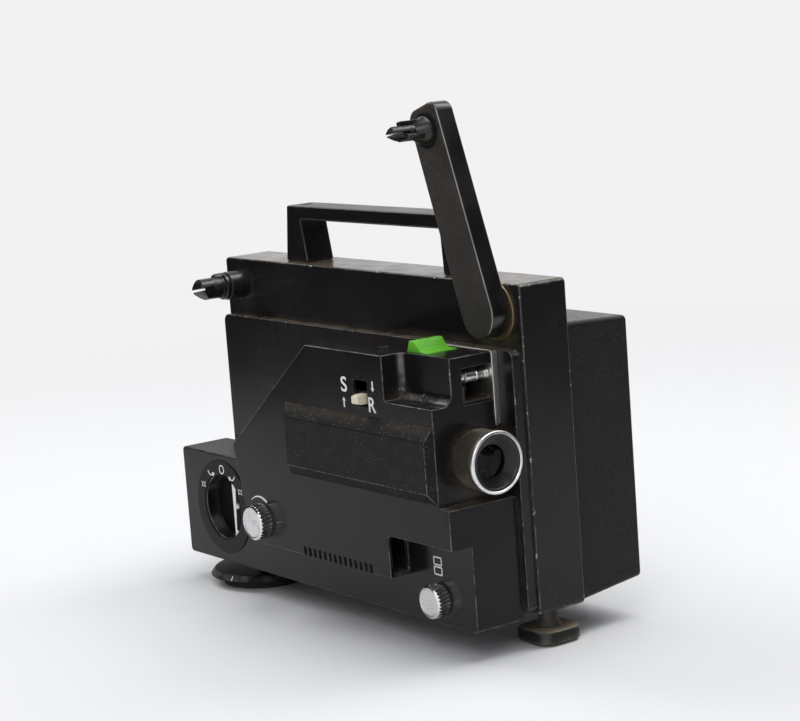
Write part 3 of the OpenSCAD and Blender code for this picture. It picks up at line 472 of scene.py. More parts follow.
def mesh_from(bm, name, smooth=True):
    """A clean mesh from a bmesh, without leftover layers."""
    bm.verts.ensure_lookup_table()
    mesh = bpy.data.meshes.new(name)
    mesh.from_pydata([v.co.copy() for v in bm.verts], [], [[v.index for v in f.verts] for f in bm.faces])
    bm.free()
    for face in mesh.polygons:
        face.use_smooth = smooth
    return mesh


def closed_mesh(bm, name, crease=None):
    """A mesh with its faces turned outwards, creased where they meet at more than crease degrees."""
    bmesh.ops.recalc_face_normals(bm, faces=bm.faces)
    bm.verts.index_update()
    mesh = mesh_from(bm, name)
    if crease:
        mesh.set_sharp_from_angle(angle=math.radians(crease))
    return mesh


def prism(bm, start, end):
    """A solid between two outlines of places with as many corners."""
    rings = [[bm.verts.new(place) for place in outline] for outline in (start, end)]
    bm.faces.new(rings[0])
    bm.faces.new(rings[1][::-1])
    for i in range(len(start)):
        j = (i + 1) % len(start)
        bm.faces.new([rings[0][j], rings[0][i], rings[1][i], rings[1][j]])


def round_edges(piece, width, segments=3, limit="WEIGHT"):
    """Rounds the piece's edges and keeps its flat faces flat."""
    bevel = piece.modifiers.new("edges", "BEVEL")
    bevel.width = width * MM
    bevel.segments = segments
    bevel.limit_method = limit
    bevel.angle_limit = math.radians(30)
    bevel.use_clamp_overlap = False
    bevel.miter_outer = "MITER_ARC"
    bevel.loop_slide = False
    shading = piece.modifiers.new("shading", "WEIGHTED_NORMAL")
    shading.keep_sharp = False
    return piece


def inside(low, place, high):
    return all(a <= m <= b for a, m, b in zip(low, place, high))


def lengthened(bm, level, reach, starts):
    """Moves the end of a casing outwards below a level. Each start is (from X, below Z)."""
    end = max(own(v.co).x for v in bm.verts) - 0.05
    end_faces = [f for f in bm.faces if all(own(v.co).x > end for v in f.verts)]
    geom = {g for f in end_faces for g in (f, *f.edges, *f.verts)}
    bmesh.ops.bisect_plane(bm, geom=list(geom), plane_co=at(0, 0, level), plane_no=(0, 0, 1), dist=1e-7)
    for v in bm.verts:
        spot = own(v.co)
        if any(spot.x > x and spot.z < z for x, z in starts):
            v.co.x += reach * MM


def softened(node, finish, width):
    """The CAD node again with rounded edges, finer ones in its fine zones."""
    bm = bmesh.new()
    bm.from_mesh(frame["nodes"][node].data)
    bmesh.ops.remove_doubles(bm, verts=bm.verts, dist=2e-6)
    for low, high, rise in RAISED.get(node, ()):
        for v in bm.verts:
            if inside(low, own(v.co), high):
                v.co.z += rise * MM
    if node in LENGTHENED:
        lengthened(bm, *LENGTHENED[node])
    bm.verts.index_update()
    weights = {}
    for edge in bm.edges:
        if len(edge.link_faces) != 2 or edge.calc_face_angle(0) < math.radians(SHARP_FROM):
            continue
        middle = own((edge.verts[0].co + edge.verts[1].co) / 2)
        share = 1.0
        for low, high, zone_share in FINE_ZONES.get(node, ()):
            if inside(low, middle, high):
                share = zone_share
        weights[frozenset(v.index for v in edge.verts)] = share
    mesh = mesh_from(bm, node + "_shape")
    weight = mesh.attributes.new("bevel_weight_edge", "FLOAT", "EDGE")
    for edge in mesh.edges:
        weight.data[edge.index].value = weights.get(frozenset(edge.vertices), 0.0)
    piece = add_piece(node + "_shape", mesh, BODY_OF[node], finish, [node])
    return round_edges(piece, width)


def across(axis):
    """Two directions square to an axis."""
    axis = Vector(axis).normalized()
    side = axis.orthogonal().normalized()
    return side, axis.cross(side)


def turned(name, profile, origin, axis, steps=96, flutes=0, closed=False):
    """A turned mesh. The profile is (distance along the axis, radius, any flute depth) in millimetres."""
    axis = Vector(axis).normalized()
    u, v = across(axis)
    bm = bmesh.new()
    rings = []
    for distance, radius, *flute in profile:
        depth = flute[0] if flute else 0
        middle = origin + axis * distance * MM
        if radius < 1e-6:
            rings.append([bm.verts.new(middle)])
            continue
        ring = []
        for i in range(steps):
            angle = 2 * math.pi * i / steps
            r = radius - depth * (0.5 - 0.5 * math.cos(flutes * angle))
            ring.append(bm.verts.new(middle + (u * math.cos(angle) + v * math.sin(angle)) * r * MM))
        rings.append(ring)
    pairs = list(zip(rings, rings[1:])) + ([(rings[-1], rings[0])] if closed else [])
    for a, b in pairs:
        for i in range(steps):
            j = (i + 1) % steps
            corners = [a[i % len(a)], a[j % len(a)], b[j % len(b)], b[i % len(b)]]
            corners = list(dict.fromkeys(corners))
            if len(corners) > 2:
                bm.faces.new(corners)
    return closed_mesh(bm, name, 35)


def turned_piece(name, profile, origin, axis, body, slot, finish, replaced=(), **turning):
    return add_piece(name, turned(name, profile, origin, axis, **turning), body, finish, replaced)


def ribbon(bm, points, widths, closed=False):
    """A flat band along points in the XZ plane, in millimetres."""
    count = len(points)
    sides = []
    for i, (x, z) in enumerate(points):
        before = points[(i - 1) % count if closed else max(i - 1, 0)]
        after = points[(i + 1) % count if closed else min(i + 1, count - 1)]
        along = Vector((after[0] - before[0], after[1] - before[1])).normalized()
        half = (widths[i] if isinstance(widths, (list, tuple)) else widths) / 2
        sides.append([bm.verts.new((x - along.y * half, 0, z + along.x * half)),
                      bm.verts.new((x + along.y * half, 0, z - along.x * half))])
    for i in range(count if closed else count - 1):
        a, b = sides[i], sides[(i + 1) % count]
        bm.faces.new([a[0], a[1], b[1], b[0]])


def flat_shape(bm, points):
    bm.faces.new([bm.verts.new((x, 0, z)) for x, z in points])


def arc(x, z, radius, start, end, steps=16, squeeze=1.0):
    """Points on an arc, with its angles in degrees."""
    angles = [math.radians(start + (end - start) * i / steps) for i in range(steps + 1)]
    return [(x + radius * squeeze * math.cos(a), z + radius * math.sin(a)) for a in angles]


PRINT_T, PRINT_SUNK = 0.12, 0.02


def printed(name, face_y, body, bm):
    """A mark of white paint that lies on a face of the film side."""
    made = bmesh.ops.extrude_face_region(bm, geom=list(bm.faces))
    rise = [v for v in made["geom"] if isinstance(v, bmesh.types.BMVert)]
    bmesh.ops.translate(bm, verts=rise, vec=(0, -PRINT_T, 0))
    bmesh.ops.recalc_face_normals(bm, faces=bm.faces)
    onto_face = Matrix.Translation(at(0, face_y + PRINT_SUNK, 0)) @ Matrix.Scale(MM, 4)
    bmesh.ops.transform(bm, matrix=onto_face, verts=bm.verts)
    bm.verts.index_update()
    return add_piece(name, mesh_from(bm, name, smooth=False), body, "white")


def letter(text, height, squeeze, x, z):
    """One letter as a flat bmesh in the XZ plane, centred on (x, z)."""
    curve = bpy.data.curves.new("letter", "FONT")
    curve.body = text
    curve.offset = 0.012
    shape = bpy.data.objects.new("letter", curve)
    bpy.context.scene.collection.objects.link(shape)
    bpy.context.view_layer.update()
    mesh = bpy.data.meshes.new_from_object(shape)
    bpy.data.objects.remove(shape)
    lows = [min(v.co[i] for v in mesh.vertices) for i in (0, 1)]
    highs = [max(v.co[i] for v in mesh.vertices) for i in (0, 1)]
    scale = height / (highs[1] - lows[1])
    bm = bmesh.new()
    bm.from_mesh(mesh)
    for v in bm.verts:
        v.co = Vector((x + (v.co.x - (lows[0] + highs[0]) / 2) * scale * squeeze, 0,
                       z + (v.co.y - (lows[1] + highs[1]) / 2) * scale))
    bmesh.ops.remove_doubles(bm, verts=bm.verts, dist=1e-4)
    return bm


# Housing, covers, handle and feet
SOFT_EDGES = {
    "main_housing": ("body", 1.3), "rear_cover": ("grain", 1.6), "side_cover": ("ledge", 0.9),
    "base_casing": ("base", 1.1), "front_cover": ("panel", 0.9), "lens_housing": ("wrinkle", 0.45),
    "carry_handle": ("handle", 1.2), "film_guide_plate": ("plate", 0.4), "thread_button": ("green", 0.6),
    "direction_lever": ("lever", 0.6), "dial_ring": ("dial", 0.25), "selector_knob": ("well", 0.4),
    "supply_arm": ("arm", 1.3), "arm_washer": ("washer", 0.4), "takeup_bush": ("gloss", 0.6),
    "front_foot": ("foot", 1.0), "front_foot_pad": ("rubber", 0.5), "rear_foot": ("rear_foot", 0.8),
    "rear_foot_pad": ("rubber", 1.0), "side_foot": ("rubber", 1.0), "mains_inlet": ("gloss", 0.5),
    "handle_screws": ("steel", 0.25), "cover_screw": ("gloss", 0.2),
}
SHARP_FROM = 28
# Where edges stay finer: low corner, high corner and share of the node's rounding
FINE_ZONES = {
    "front_cover": [
        ((146, -60, 18), (222, -45, 28.5), 0.16),
        ((282, -36, 118), (290, -5, 146), 0.45),
        ((212, -60, 117), (229, -45, 136), 0.3),
        ((236, -40, 147.5), (268, -14, 152), 0.3),
        ((214, -44, 147), (230, -28, 152), 0.2),
        ((295.5, -46, 46), (296.5, -5, 47), 0.05),
    ],
    "main_housing": [((-1, 1, -1), (303, 32.4, 183), 0.25), ((2, 32, 2), (300, 34, 184), 0.25)],
    "rear_cover": [
        ((-1, 32, -1), (303, 35, 187), 0.15),
        ((8, 36, 4), (294, 81, 156), 0.15),
        ((12, 80, 8), (290, 84, 152), 0.25),
    ],
    "side_cover": [((1.5, -6.4, 1.5), (300, 1, 148.5), 0.3)],
    "base_casing": [((2, -38.6, 0), (290, 0, 64), 0.25)],
    "front_foot": [((270, -5, -9.6), (306, 38, 25), 0.15)],
}
# The top of the film inlet, raised so that the whole roller shows: low corner, high corner, rise
RAISED = {"front_cover": [((284, -33, 140.5), (287.5, -6, 141.5), 2.2)]}
# The lens end of the base, brought level with the cover's end: its top, how far it moves, its starts
LENGTHENED = {"base_casing": (46.4, 2.97, ((290.7, 46.45), (289.95, -0.7)))}
for node, (finish, width) in SOFT_EDGES.items():
    softened(node, finish, width)

# Painted highlight: a thin light strip down the rear foot's rim
foot_low, foot_high = box_of("rear_foot")
foot_r = (foot_high.x - foot_low.x) / 2
foot_middle = Vector(((foot_low.x + foot_high.x) / 2, (foot_low.y + foot_high.y) / 2, foot_low.z))
GLINT_ANGLE, GLINT_W, GLINT_PROUD, GLINT_SUNK, GLINT_GAP = math.radians(-72), 0.7, 0.25, -0.4, 0.7
CONE_H, CONE_IN = 4.0, 3.0
outward = Vector((math.cos(GLINT_ANGLE), math.sin(GLINT_ANGLE), 0))
sideways = Vector((-outward.y, outward.x, 0)) * GLINT_W / 2
glint_ends = []
for height in (GLINT_GAP, CONE_H - GLINT_GAP):
    rim = foot_middle + Vector((0, 0, height)) + outward * (foot_r - CONE_IN * height / CONE_H)
    glint_ends.append([at(*(rim + outward * proud + sideways * sign)) for proud, sign in
                      ((GLINT_SUNK, -1), (GLINT_PROUD, -1), (GLINT_PROUD, 1), (GLINT_SUNK, 1))])
glint = bmesh.new()
prism(glint, *glint_ends)
glint_piece = add_piece("rear_foot_glint", closed_mesh(glint, "rear_foot_glint"),
                       BODY_OF["rear_foot"], "cream")
round_edges(glint_piece, 0.1, 2, "ANGLE")

# Pieces inside, whose CAD shape stays
INSIDE = {
    "rear_lens": "lens", "film_pins": "steel", "film_sprocket": "alloy", "arm_stud": "steel",
    "takeup_pulley": "gloss", "takeup_belt": "rubber", "motor": "alloy", "motor_bracket": "alloy",
    "motor_shaft": "steel", "cooling_fan": "gloss", "motor_pulley": "gloss", "drive_belt": "rubber",
    "shutter": "alloy", "shutter_shaft": "steel", "worm_wheel": "cream", "drive_shaft": "steel",
    "gate_frame": "alloy", "aperture_plate": "steel", "pressure_plate": "steel", "claw": "steel",
    "lamp": "bulb", "lamp_reflector": "mirror", "lamp_socket": "ceramic", "chassis_plate": "alloy",
    "transformer": "iron",
}
for node, finish in INSIDE.items():
    mesh = frame["nodes"][node].data
    mesh.materials.clear()
    mesh.materials.append(FINISH[finish])


# Spindles: split pins, with three vanes along the supply spindle
ACROSS, ALONG_LENS = (0, 1, 0), (1, 0, 0)
SLIT_LEAN = math.radians(11)


def spindle_place(node):
    low, high = box_of(node)
    return low.y, (low.x + high.x) / 2, (low.z + high.z) / 2


def vane(bm, x, z, angle, inner, outer, thick, tip_y, root_y, chamfer):
    """One radial vane with its outer tip corner cut off."""
    along = Vector((math.cos(math.radians(angle)), 0, math.sin(math.radians(angle))))
    side = Vector((-along.z, 0, along.x)) * thick / 2
    outline = [(inner, root_y), (outer, root_y), (outer, tip_y + chamfer), (outer - chamfer * 0.8, tip_y),
               (inner, tip_y)]
    prism(bm, *([at(*(Vector((x, y, z)) + along * r + side * sign)) for r, y in outline] for sign in (-1, 1)))


def half_pin(bm, x0, z0, radius, slit, sign, tip_y, root_y, cut_back):
    """Half of a split pin. Its tip slopes back with the distance from the slit."""
    tip_share, tip_round, flat_share, steps = 0.86, 0.9, 0.25, 20
    start = math.asin(slit / radius)
    lean = Vector((math.cos(SLIT_LEAN), 0, math.sin(SLIT_LEAN)))
    rise = Vector((-lean.z, 0, lean.x))
    rings = [[], [], []]
    for i in range(steps + 1):
        a = start + (math.pi - 2 * start) * i / steps
        spot = (lean * math.cos(a) + rise * math.sin(a)) * radius * sign
        tip = tip_y + cut_back * max(0.0, abs(math.sin(a)) - flat_share)
        for ring, (share, y) in zip(rings, ((tip_share, tip), (1.0, tip + tip_round), (1.0, root_y))):
            place = spot * share + rise * slit * sign * (1 - share)
            ring.append(bm.verts.new(at(x0 + place.x, y, z0 + place.z)))
    for a, b in zip(rings, rings[1:]):
        for i in range(len(a)):
            j = (i + 1) % len(a)
            bm.faces.new([a[i], a[j], b[j], b[i]])
    bm.faces.new(rings[0][::-1])
    bm.faces.new(rings[-1])


def spindle_piece(name, bm, body, replaced=(), crease=None):
    return add_piece(name, closed_mesh(bm, name, crease), body, "gloss", replaced)


PIN_CREASE = 40
supply_tip, supply_x, supply_z = spindle_place("supply_spindle")
ARM_Y = box_of("supply_arm")[0].y
CORE_R, CORE_SLIT, CORE_ROOT = 4.2, 0.45, supply_tip + 12
VANE_IN, VANE_OUT, VANE_T, VANE_CHAMFER = 3.0, 6.6, 3.0, 0.8
vanes = bmesh.new()
for angle, set_back in ((98, 6.5), (218, 8), (338, 8)):
    vane(vanes, supply_x, supply_z, angle, VANE_IN, VANE_OUT, VANE_T,
         supply_tip + set_back, ARM_Y - 4, VANE_CHAMFER)
round_edges(spindle_piece("supply_vanes", vanes, "supply", ["supply_spindle"]), 0.35, 2, "ANGLE")
core = bmesh.new()
half_pin(core, supply_x, supply_z, CORE_R, CORE_SLIT, 1, supply_tip, CORE_ROOT, 1.5)
half_pin(core, supply_x, supply_z, CORE_R, CORE_SLIT, -1, supply_tip + 0.4, CORE_ROOT, 5)
spindle_piece("supply_core", core, "supply", crease=PIN_CREASE)
root = CORE_ROOT - ARM_Y
hub = [(root, 0), (root, CORE_R - 0.2), (root + 0.3, CORE_R), (-9.6, CORE_R), (-8.8, 5.0), (-3.4, 7.5),
       (-2.6, 8.1), (-0.4, 8.2), (-0.4, 0)]
supply_seat = at(supply_x, ARM_Y, supply_z)
turned_piece("supply_hub", hub, supply_seat, ACROSS, "supply", "black_gloss", "gloss", steps=72)
arm_ring = [(0.3, 9.0), (-0.9, 9.0), (-1.3, 9.3), (-1.2, 9.8), (-0.6, 10.2), (0.3, 10.3)]
turned_piece("arm_ring", arm_ring, supply_seat, ACROSS, "arm", "arm_plastic", "well", closed=True)

takeup_tip, takeup_x, takeup_z = spindle_place("takeup_spindle")
BUSH_Y = box_of("takeup_bush")[0].y
PIN_R, PIN_SLIT, PIN_ROOT = 6.8, 0.8, takeup_tip + 10
pin = bmesh.new()
half_pin(pin, takeup_x, takeup_z, PIN_R, PIN_SLIT, 1, takeup_tip, PIN_ROOT, 1.6)
half_pin(pin, takeup_x, takeup_z, PIN_R, PIN_SLIT, -1, takeup_tip + 0.6, PIN_ROOT, 5.5)
spindle_piece("takeup_pin", pin, "takeup", ["takeup_spindle"], PIN_CREASE)
lug = [(-9.2, 0), (-9.1, 1.6), (-8.6, 2.6), (-7.6, 3.2), (-6.4, 3.4), (-1.2, 3.4), (-1.0, 3.2), (-1.0, 0)]
LUG_X, LUG_Z = -0.6, 5.4
turned_piece("takeup_lug", lug, at(takeup_x + LUG_X, BUSH_Y, takeup_z + LUG_Z), ACROSS,
             "takeup", "black_gloss", "gloss", steps=40)
root = PIN_ROOT - BUSH_Y
seat = [(root, 0), (root, PIN_R - 0.2), (root + 0.4, PIN_R), (-5.2, PIN_R), (-5.0, 7.3), (-4.2, 7.3),
        (-4.0, 6.9), (-3.4, 6.9), (-3.2, 8.0), (-2.9, 8.4), (-0.9, 8.4), (-0.5, 8.0), (-0.5, 3), (20, 3), (20, 0)]
turned_piece("takeup_seat", seat, at(takeup_x, BUSH_Y, takeup_z), ACROSS,
             "takeup", "black_gloss", "gloss", steps=72)


# Knobs: bright face, chamfered rim and a fluted side
def fluted_knob(node):
    low, high = box_of(node)
    radius = (high.x - low.x) / 2
    origin = at((low.x + high.x) / 2, low.y, (low.z + high.z) / 2)
    body, length, stem_r = BODY_OF[node], high.y - low.y, 3
    reach, flutes, depth = 9.3, 28, 0.8
    side = [(0.75, 0), (0.75, radius - 1.45), (0.25, radius - 1.3), (0.9, radius - 0.35),
            (1.5, radius, depth * 0.6), (2.2, radius, depth), (reach - 1.6, radius, depth),
            (reach - 0.8, radius - 0.2, depth * 0.5), (reach, radius - 0.9), (reach, 0)]
    turned_piece(node + "_side", side, origin, ACROSS, body, "chrome", "chrome", [node],
                 steps=flutes * 10, flutes=flutes)
    face = [(0.55, 0), (0.5, radius - 2.4), (0.05, radius - 1.9), (0.0, radius - 1.55), (0.25, radius - 1.32),
            (0.7, radius - 1.48), (0.7, 0)]
    turned_piece(node + "_face", face, origin, ACROSS, body, "chrome", "knob_face")
    stem = [(reach - 0.2, 0), (reach - 0.2, stem_r), (length, stem_r), (length, 0)]
    turned_piece(node + "_stem", stem, origin, ACROSS, body, "steel", "steel", steps=32)


fluted_knob("speed_knob")
fluted_knob("framing_knob")

# Lens: ribbed ring, chrome trim, dark funnel, glass and the stepped bore behind it
ring_low, ring_high = box_of("focus_ring")
trim_low, trim_high = box_of("lens_trim_ring")
barrel_low, barrel_high = box_of("lens_barrel")
AXIS_Y, AXIS_Z = (ring_low.y + ring_high.y) / 2, (ring_low.z + ring_high.z) / 2
ring_r = (ring_high.z - ring_low.z) / 2
trim_r = (trim_high.z - trim_low.z) / 2
barrel_r = (barrel_high.z - barrel_low.z) / 2
ring_l, trim_l = ring_high.x - ring_low.x, trim_high.x - trim_low.x
RIBS, RIB_DEPTH, RIB_STEPS = 112, 0.75, 6
ring_in = barrel_r + 0.1
ribbed = [(0, ring_in), (0, ring_r - 0.9), (0.4, ring_r - 0.4), (1.2, ring_r - 0.3), (1.6, ring_r, RIB_DEPTH),
          (ring_l - 2.4, ring_r, RIB_DEPTH), (ring_l - 2.0, ring_r - 0.3), (ring_l, ring_r - 0.3),
          (ring_l, ring_in)]
turned_piece("focus_ring_shape", ribbed, at(ring_low.x, AXIS_Y, AXIS_Z), ALONG_LENS,
             "focus", "black_gloss", "ring", ["focus_ring"], steps=RIBS * RIB_STEPS, flutes=RIBS, closed=True)
trim = [(0, trim_r - 1.2), (0, trim_r - 0.2), (0.4, trim_r), (trim_l - 0.7, trim_r), (trim_l - 0.25, trim_r - 0.3),
        (trim_l, trim_r - 0.9), (trim_l, trim_r - 1.5), (trim_l - 0.3, trim_r - 1.8), (0.2, trim_r - 1.8)]
turned_piece("trim_ring_shape", trim, at(trim_low.x, AXIS_Y, AXIS_Z), ALONG_LENS,
             "focus", "chrome", "trim", ["lens_trim_ring"], steps=144, closed=True)
tip = at(trim_high.x, AXIS_Y, AXIS_Z)
TREADS, TREAD_L, TREAD_IN = 6, 0.9, 0.98
funnel = [(-2.95, trim_r - 1.85), (-0.7, trim_r - 1.85), (-0.75, trim_r - 2.5), (-1.0, trim_r - 2.8)]
for tread in range(TREADS):
    back, inward = TREAD_L * tread, TREAD_IN * tread
    funnel += [(-1.1 - back, trim_r - 3.0 - inward), (-1.75 - back, trim_r - 3.4 - inward)]
funnel += [(-6.6, trim_r - 8.4), (-6.6, 14.2), (-2.95, 14.7)]
turned_piece("bezel_shape", funnel, tip, ALONG_LENS, "focus", "black_gloss", "bezel", ["lens_bezel"],
             steps=120, closed=True)
BORE_R = 11.75
barrel_start, barrel_end = barrel_low.x - trim_high.x, barrel_high.x - trim_high.x
bore = [(barrel_start, barrel_r), (barrel_end, barrel_r), (-7, BORE_R), (-13, BORE_R), (-13.2, 10.2), (-18, 9.6),
        (-18.2, 8.6), (-26, 8.2), (-26.2, 7.2), (-40, 6.6), (-40.2, BORE_R), (barrel_start, BORE_R)]
turned_piece("barrel_shape", bore, tip, ALONG_LENS, "body", "black_gloss", "bore", ["lens_barrel"], closed=True)
pane_r = BORE_R - 0.03
pane = [(-7.0, 0), (-7.1, 4), (-7.6, pane_r), (-10, pane_r), (-11.4, 5), (-11.8, 0)]
turned_piece("front_glass", pane, tip, ALONG_LENS, "body", "lens_glass", "lens", ["front_lens"])

# Film roller: a small tip, a bright collar and a narrower shaft
roller_low, roller_high = box_of("guide_roller")
roller_r = (roller_high.x - roller_low.x) / 2
roller_l = roller_high.y - roller_low.y
ROLLER_BORE, TIP_R, SHAFT_R = 1.66, 2.6, 2.7
collar_r = roller_r - 0.35
roller = [(0, ROLLER_BORE), (0, 2.2), (0.4, TIP_R), (3.4, TIP_R), (3.6, roller_r - 0.4), (4.0, roller_r),
          (4.6, roller_r), (4.9, collar_r), (11.4, collar_r), (11.8, roller_r), (12.2, roller_r), (12.5, SHAFT_R),
          (roller_l - 2.4, SHAFT_R), (roller_l - 2, 3.2), (roller_l, 3.4), (roller_l, ROLLER_BORE)]
roller_start = at((roller_low.x + roller_high.x) / 2, roller_low.y, (roller_low.z + roller_high.z) / 2)
turned_piece("roller_shape", roller, roller_start, ACROSS, "roller", "chrome", "trim", ["guide_roller"],
             steps=64, closed=True)

# Film channel behind the inlet, as start, end and outline: a wall and a lipped floor, a stepped block further in
CHANNEL = (
    (266, 284.3, ((-31.2, 122.9), (-11.2, 122.9), (-11.2, 125.4), (-13.2, 125.4), (-13.2, 124.2), (-28.8, 124.2),
                  (-28.8, 132.6), (-31.2, 132.6))),
    (256, 265.8, ((-27.6, 124.4), (-13.4, 124.4), (-13.4, 129.4), (-16.0, 129.4), (-16.0, 127.8), (-25.6, 127.8),
                  (-25.6, 131.4), (-27.6, 131.4))),
)
channel = bmesh.new()
for start, end, outline in CHANNEL:
    prism(channel, *([at(x, y, z) for y, z in outline] for x in (start, end)))
channel_piece = add_piece("film_channel", closed_mesh(channel, "film_channel"), "body", "channel")
round_edges(channel_piece, 0.3, 2, "ANGLE")


# Printed marks
FRONT_Y, BASE_Y, DIAL_Y = (box_of(node)[0].y for node in ("front_cover", "base_casing", "dial_ring"))
printed("mark_s", FRONT_Y, "body", letter("S", 8.9, 1.14, 205.0, 130.6))
printed("mark_r", FRONT_Y, "body", letter("R", 8.6, 1.0, 231.6, 121.1))


def arrow(x, z, length, up):
    """An upright arrow with a notched head, pointing up (1) or down (-1)."""
    shaft_w, head_w, head_l, notch = 1.15, 1.8, 2.2, 1.7
    bm = bmesh.new()
    end = z + up * length / 2
    ribbon(bm, [(x, z - up * length / 2), (x, end - up * 1.6)], shaft_w)
    flat_shape(bm, [(x - head_w, end - up * head_l), (x, end), (x + head_w, end - up * head_l),
                    (x, end - up * notch)])
    return bm


printed("mark_up", FRONT_Y, "body", arrow(204.0, 120.1, 6.0, 1))
printed("mark_down", FRONT_Y, "body", arrow(233.1, 131.7, 6.1, -1))

FRAME_X, CELL_W, CELL_H, FRAME_LINE = 263.5, 6.8, 4.3, 0.8
frame_mark = bmesh.new()
for middle in (27.9, 33.5):
    corners = [(FRAME_X + a * CELL_W / 2, middle + b * CELL_H / 2) for a, b in ((-1, -1), (1, -1), (1, 1), (-1, 1))]
    for a, b in zip(corners, corners[1:] + corners[:1]):
        ribbon(frame_mark, [a, b], FRAME_LINE)
printed("mark_frame", BASE_Y, "body", frame_mark)

sweep = bmesh.new()
sweep_points = arc(104.0, 36.5, 14.7, 129, 56)
THIN, WIDENING = 0.35, 1.25
ribbon(sweep, sweep_points, [THIN + WIDENING * i / (len(sweep_points) - 1) for i in range(len(sweep_points))])
printed("mark_speed", FRONT_Y, "body", sweep)

dial_low, dial_high = box_of("dial_ring")
dial_x, dial_z = (dial_low.x + dial_high.x) / 2, (dial_low.z + dial_high.z) / 2
selector_low, selector_high = box_of("selector_knob")


def on_dial(angle, radius):
    """A place on the dial's face, with the angle in degrees."""
    a = math.radians(angle)
    return dial_x + radius * math.cos(a), dial_z + radius * math.sin(a)


# Selector: the white edge of its segment in two parts, and a pin beside it
segment_x = selector_high.x - 8.2
STRIPS = (((0, -17.5), (1.6, -15.4), (4.0, 15.0), (0, 16.2)), ((1.8, -16.0), (4.2, -13.8), (2.1, -13.4)))
strip = bmesh.new()
for outline in STRIPS:
    flat_shape(strip, [(segment_x + x, dial_z + z) for x, z in outline])
printed("selector_strip", BASE_Y, "selector", strip)
pin_head = [(0.02, 0), (0.02, 2.3), (-0.35, 2.2), (-0.6, 1.6), (-0.7, 0)]
pin_spot = at(segment_x + 5.0, selector_low.y, dial_z + 3)
turned_piece("selector_pin", pin_head, pin_spot, ACROSS, "selector", "steel", "steel", steps=32)

# Marks round the dial: zero, two curved arrows and two lamps
THICK_LINE, FINE_LINE = 0.75, 0.45
zero = bmesh.new()
zx, zz = on_dial(85, 24.5)
ribbon(zero, arc(zx, zz, 2.65, 0, 345, 23, 0.95), THICK_LINE, closed=True)
printed("mark_zero", DIAL_Y, "body", zero)
for name, angle, radius, turn in (("mark_forward", 117.5, 23.4, 1), ("mark_reverse", 57, 24.2, -1)):
    bm = bmesh.new()
    cx, cz = on_dial(angle, radius)
    points = arc(cx - turn * 0.4, cz + 1.9, 3.3, 270 - turn * 80, 270 + turn * 35)
    ribbon(bm, points, THICK_LINE)
    head, before = Vector(points[-1]), Vector(points[-3])
    along = (head - before).normalized()
    side = Vector((-along.y, along.x))
    flat_shape(bm, [head + side * 1.5, head - side * 1.5, head + along * 2.6])
    printed(name, DIAL_Y, "body", bm)
for name, angle, radius in (("mark_lamp_a", 150.5, 24.5), ("mark_lamp_b", 29, 25.6)):
    bm = bmesh.new()
    cx, cz = on_dial(angle, radius)
    ribbon(bm, arc(cx, cz, 1.2, 0, 330, 11, 1.4), FINE_LINE, closed=True)
    for ray in range(4):
        a = math.radians(45 + 90 * ray)
        ribbon(bm, [(cx + 1.3 * r * math.cos(a), cz + r * math.sin(a)) for r in (1.55, 2.4)], FINE_LINE)
    printed(name, DIAL_Y, "body", bm)


# Stage, light and camera
# Each soft box: name, azimuth and elevation in degrees, distance and size in metres, power
BOXES = (
    ("top_box", 60, 78, 2.0, 1.5, 26),
    ("left_box", 195, 38, 1.9, 0.9, 12),
    ("camera_box", -45, 35, 2.2, 1.0, 7),
    ("back_box", 75, 50, 2.0, 0.8, 8),
)


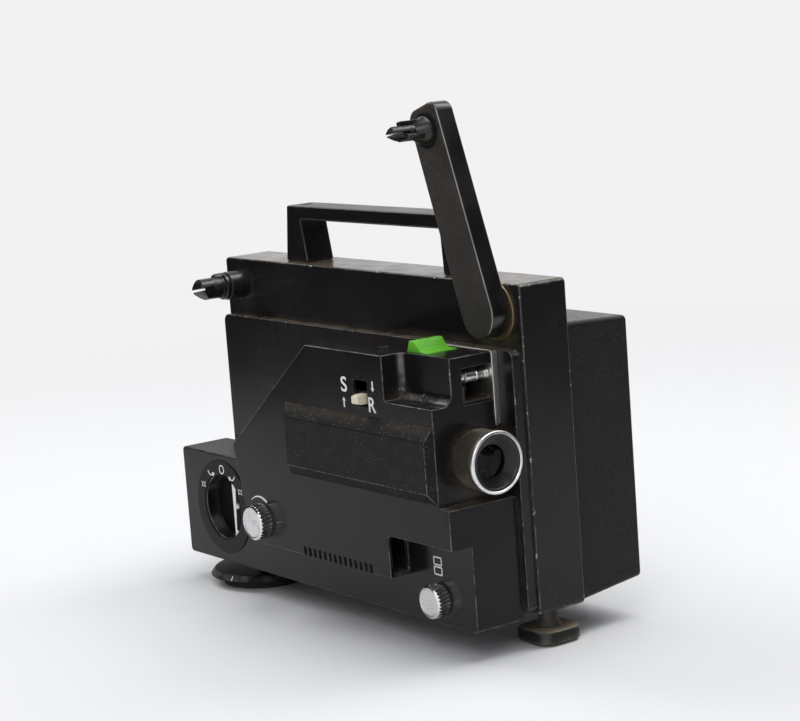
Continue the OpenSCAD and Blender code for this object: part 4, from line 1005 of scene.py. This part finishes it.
def studio():
    """A pale sweep all round, soft boxes above it and dim air."""
    radius, cove = 4.0, 1.6
    profile = [(0.0, 0.0), (radius - cove, 0.0)]
    for a in range(10, 91, 10):
        bend = math.radians(a)
        profile.append((radius - cove + cove * math.sin(bend), cove - cove * math.cos(bend)))
    profile.append((radius, 4.5))
    mesh = turned("studio_sweep", [(z / MM, r / MM) for r, z in profile], Vector((0, 0, 0)), (0, 0, 1))
    sweep = bpy.data.objects.new("studio_sweep", mesh)
    bpy.context.scene.collection.objects.link(sweep)
    paint = Paint("studio_paper", {"Roughness": 0.9, "Specular IOR Level": 0.1})
    tint = paint.noise(paint.place(), 0.0005, 2)
    paint.feed({"Base Color": paint.blend(tint, (0.80, 0.805, 0.815, 1), (0.83, 0.835, 0.845, 1))})
    ray = {name: paint.node("ShaderNodeLightPath", out=name) for name in
           ("Is Camera Ray", "Is Glossy Ray", "Is Transmission Ray")}
    seen = (ray["Is Camera Ray"] + ray["Is Glossy Ray"] + ray["Is Transmission Ray"]).clip()
    flat_place = paint.node("ShaderNodeVectorMath", {"operation": "MULTIPLY"},
                            {0: paint.node("ShaderNodeTexCoord", out="Object"), 1: (1, 1, 0.5)})
    reach = paint.node("ShaderNodeVectorMath", {"operation": "LENGTH"}, {0: flat_place}, out=1)
    glow = paint.node("ShaderNodeEmission", None, {"Color": (0.885, 0.885, 0.895, 1), "Strength": 1.0})
    lit = Socket(paint, paint.shader.outputs[0])
    mixed = paint.node("ShaderNodeMixShader", None, {0: seen * paint.step(reach, 0.3, 1.3), 1: lit, 2: glow})
    paint.plug(paint.tree.nodes["Material Output"].inputs["Surface"], mixed)
    mesh.materials.append(paint.material)

    world = bpy.data.worlds.new("studio_air")
    bpy.context.scene.world = world
    world.use_nodes = True
    back = world.node_tree.nodes["Background"]
    back.inputs["Color"].default_value = (0.95, 0.97, 1.0, 1)
    back.inputs["Strength"].default_value = 0.3

    for name, azimuth, elevation, distance, size, power in BOXES:
        a, e = math.radians(azimuth), math.radians(elevation)
        light = bpy.data.lights.new(name, "AREA")
        light.shape = "SQUARE"
        light.size = size
        light.energy = power
        lamp = bpy.data.objects.new(name, light)
        bpy.context.scene.collection.objects.link(lamp)
        toward = Vector((math.cos(e) * math.cos(a), math.cos(e) * math.sin(a), math.sin(e)))
        lamp.location = Vector((0, 0, 0.12)) + toward * distance
        lamp.rotation_euler = toward.to_track_quat("Z", "Y").to_euler()


def dark_card(name, azimuth, distance, width, height):
    """A dark card on the floor that only reflections see."""
    a = math.radians(azimuth)
    out = Vector((math.cos(a), math.sin(a), 0))
    side = Vector((-out.y, out.x, 0))
    bm = bmesh.new()
    columns = []
    for i in range(9):
        across_card = (i / 4 - 1) * width / 2
        foot = out * (distance - 0.25 * (across_card / width) ** 2) + side * across_card
        columns.append([bm.verts.new(foot), bm.verts.new(foot + Vector((0, 0, height)))])
    for left, right in zip(columns, columns[1:]):
        bm.faces.new([left[0], right[0], right[1], left[1]])
    bm.verts.index_update()
    mesh = mesh_from(bm, name)
    card = bpy.data.objects.new(name, mesh)
    bpy.context.scene.collection.objects.link(card)
    card.visible_camera = card.visible_diffuse = card.visible_transmission = card.visible_shadow = False
    paint = Paint(name, {"Roughness": 0.9, "Specular IOR Level": 0.0})
    weave = paint.noise(paint.place(), 0.5, 2)
    paint.feed({"Base Color": paint.blend(weave, (0.012, 0.012, 0.013, 1), (0.02, 0.02, 0.021, 1))})
    mesh.materials.append(paint.material)


def photo_camera():
    """The photograph's camera: its place and axes, solved from the housing's corners."""
    eye = at(1271.0, -775.7, 349.7)
    right = Vector((0.5896, 0.8043, -0.0734))
    back = Vector((0.8031, -0.5741, 0.1596)).normalized()
    up = back.cross(right).normalized()
    right = up.cross(back)
    data = bpy.data.cameras.new("photo_camera")
    data.sensor_fit = "HORIZONTAL"
    data.sensor_width, data.lens = 36, 103.5
    camera = bpy.data.objects.new("photo_camera", data)
    bpy.context.scene.collection.objects.link(camera)
    camera.matrix_world = Matrix((right, up, back)).transposed().to_4x4()
    camera.location = eye
    bpy.context.scene.camera = camera


studio()
dark_card("film_side_card", 215, 0.78, 1.5, 0.9)
dark_card("lens_end_card", 35, 0.9, 1.2, 0.8)
photo_camera()
bpy.context.scene.view_settings.view_transform = "Standard"
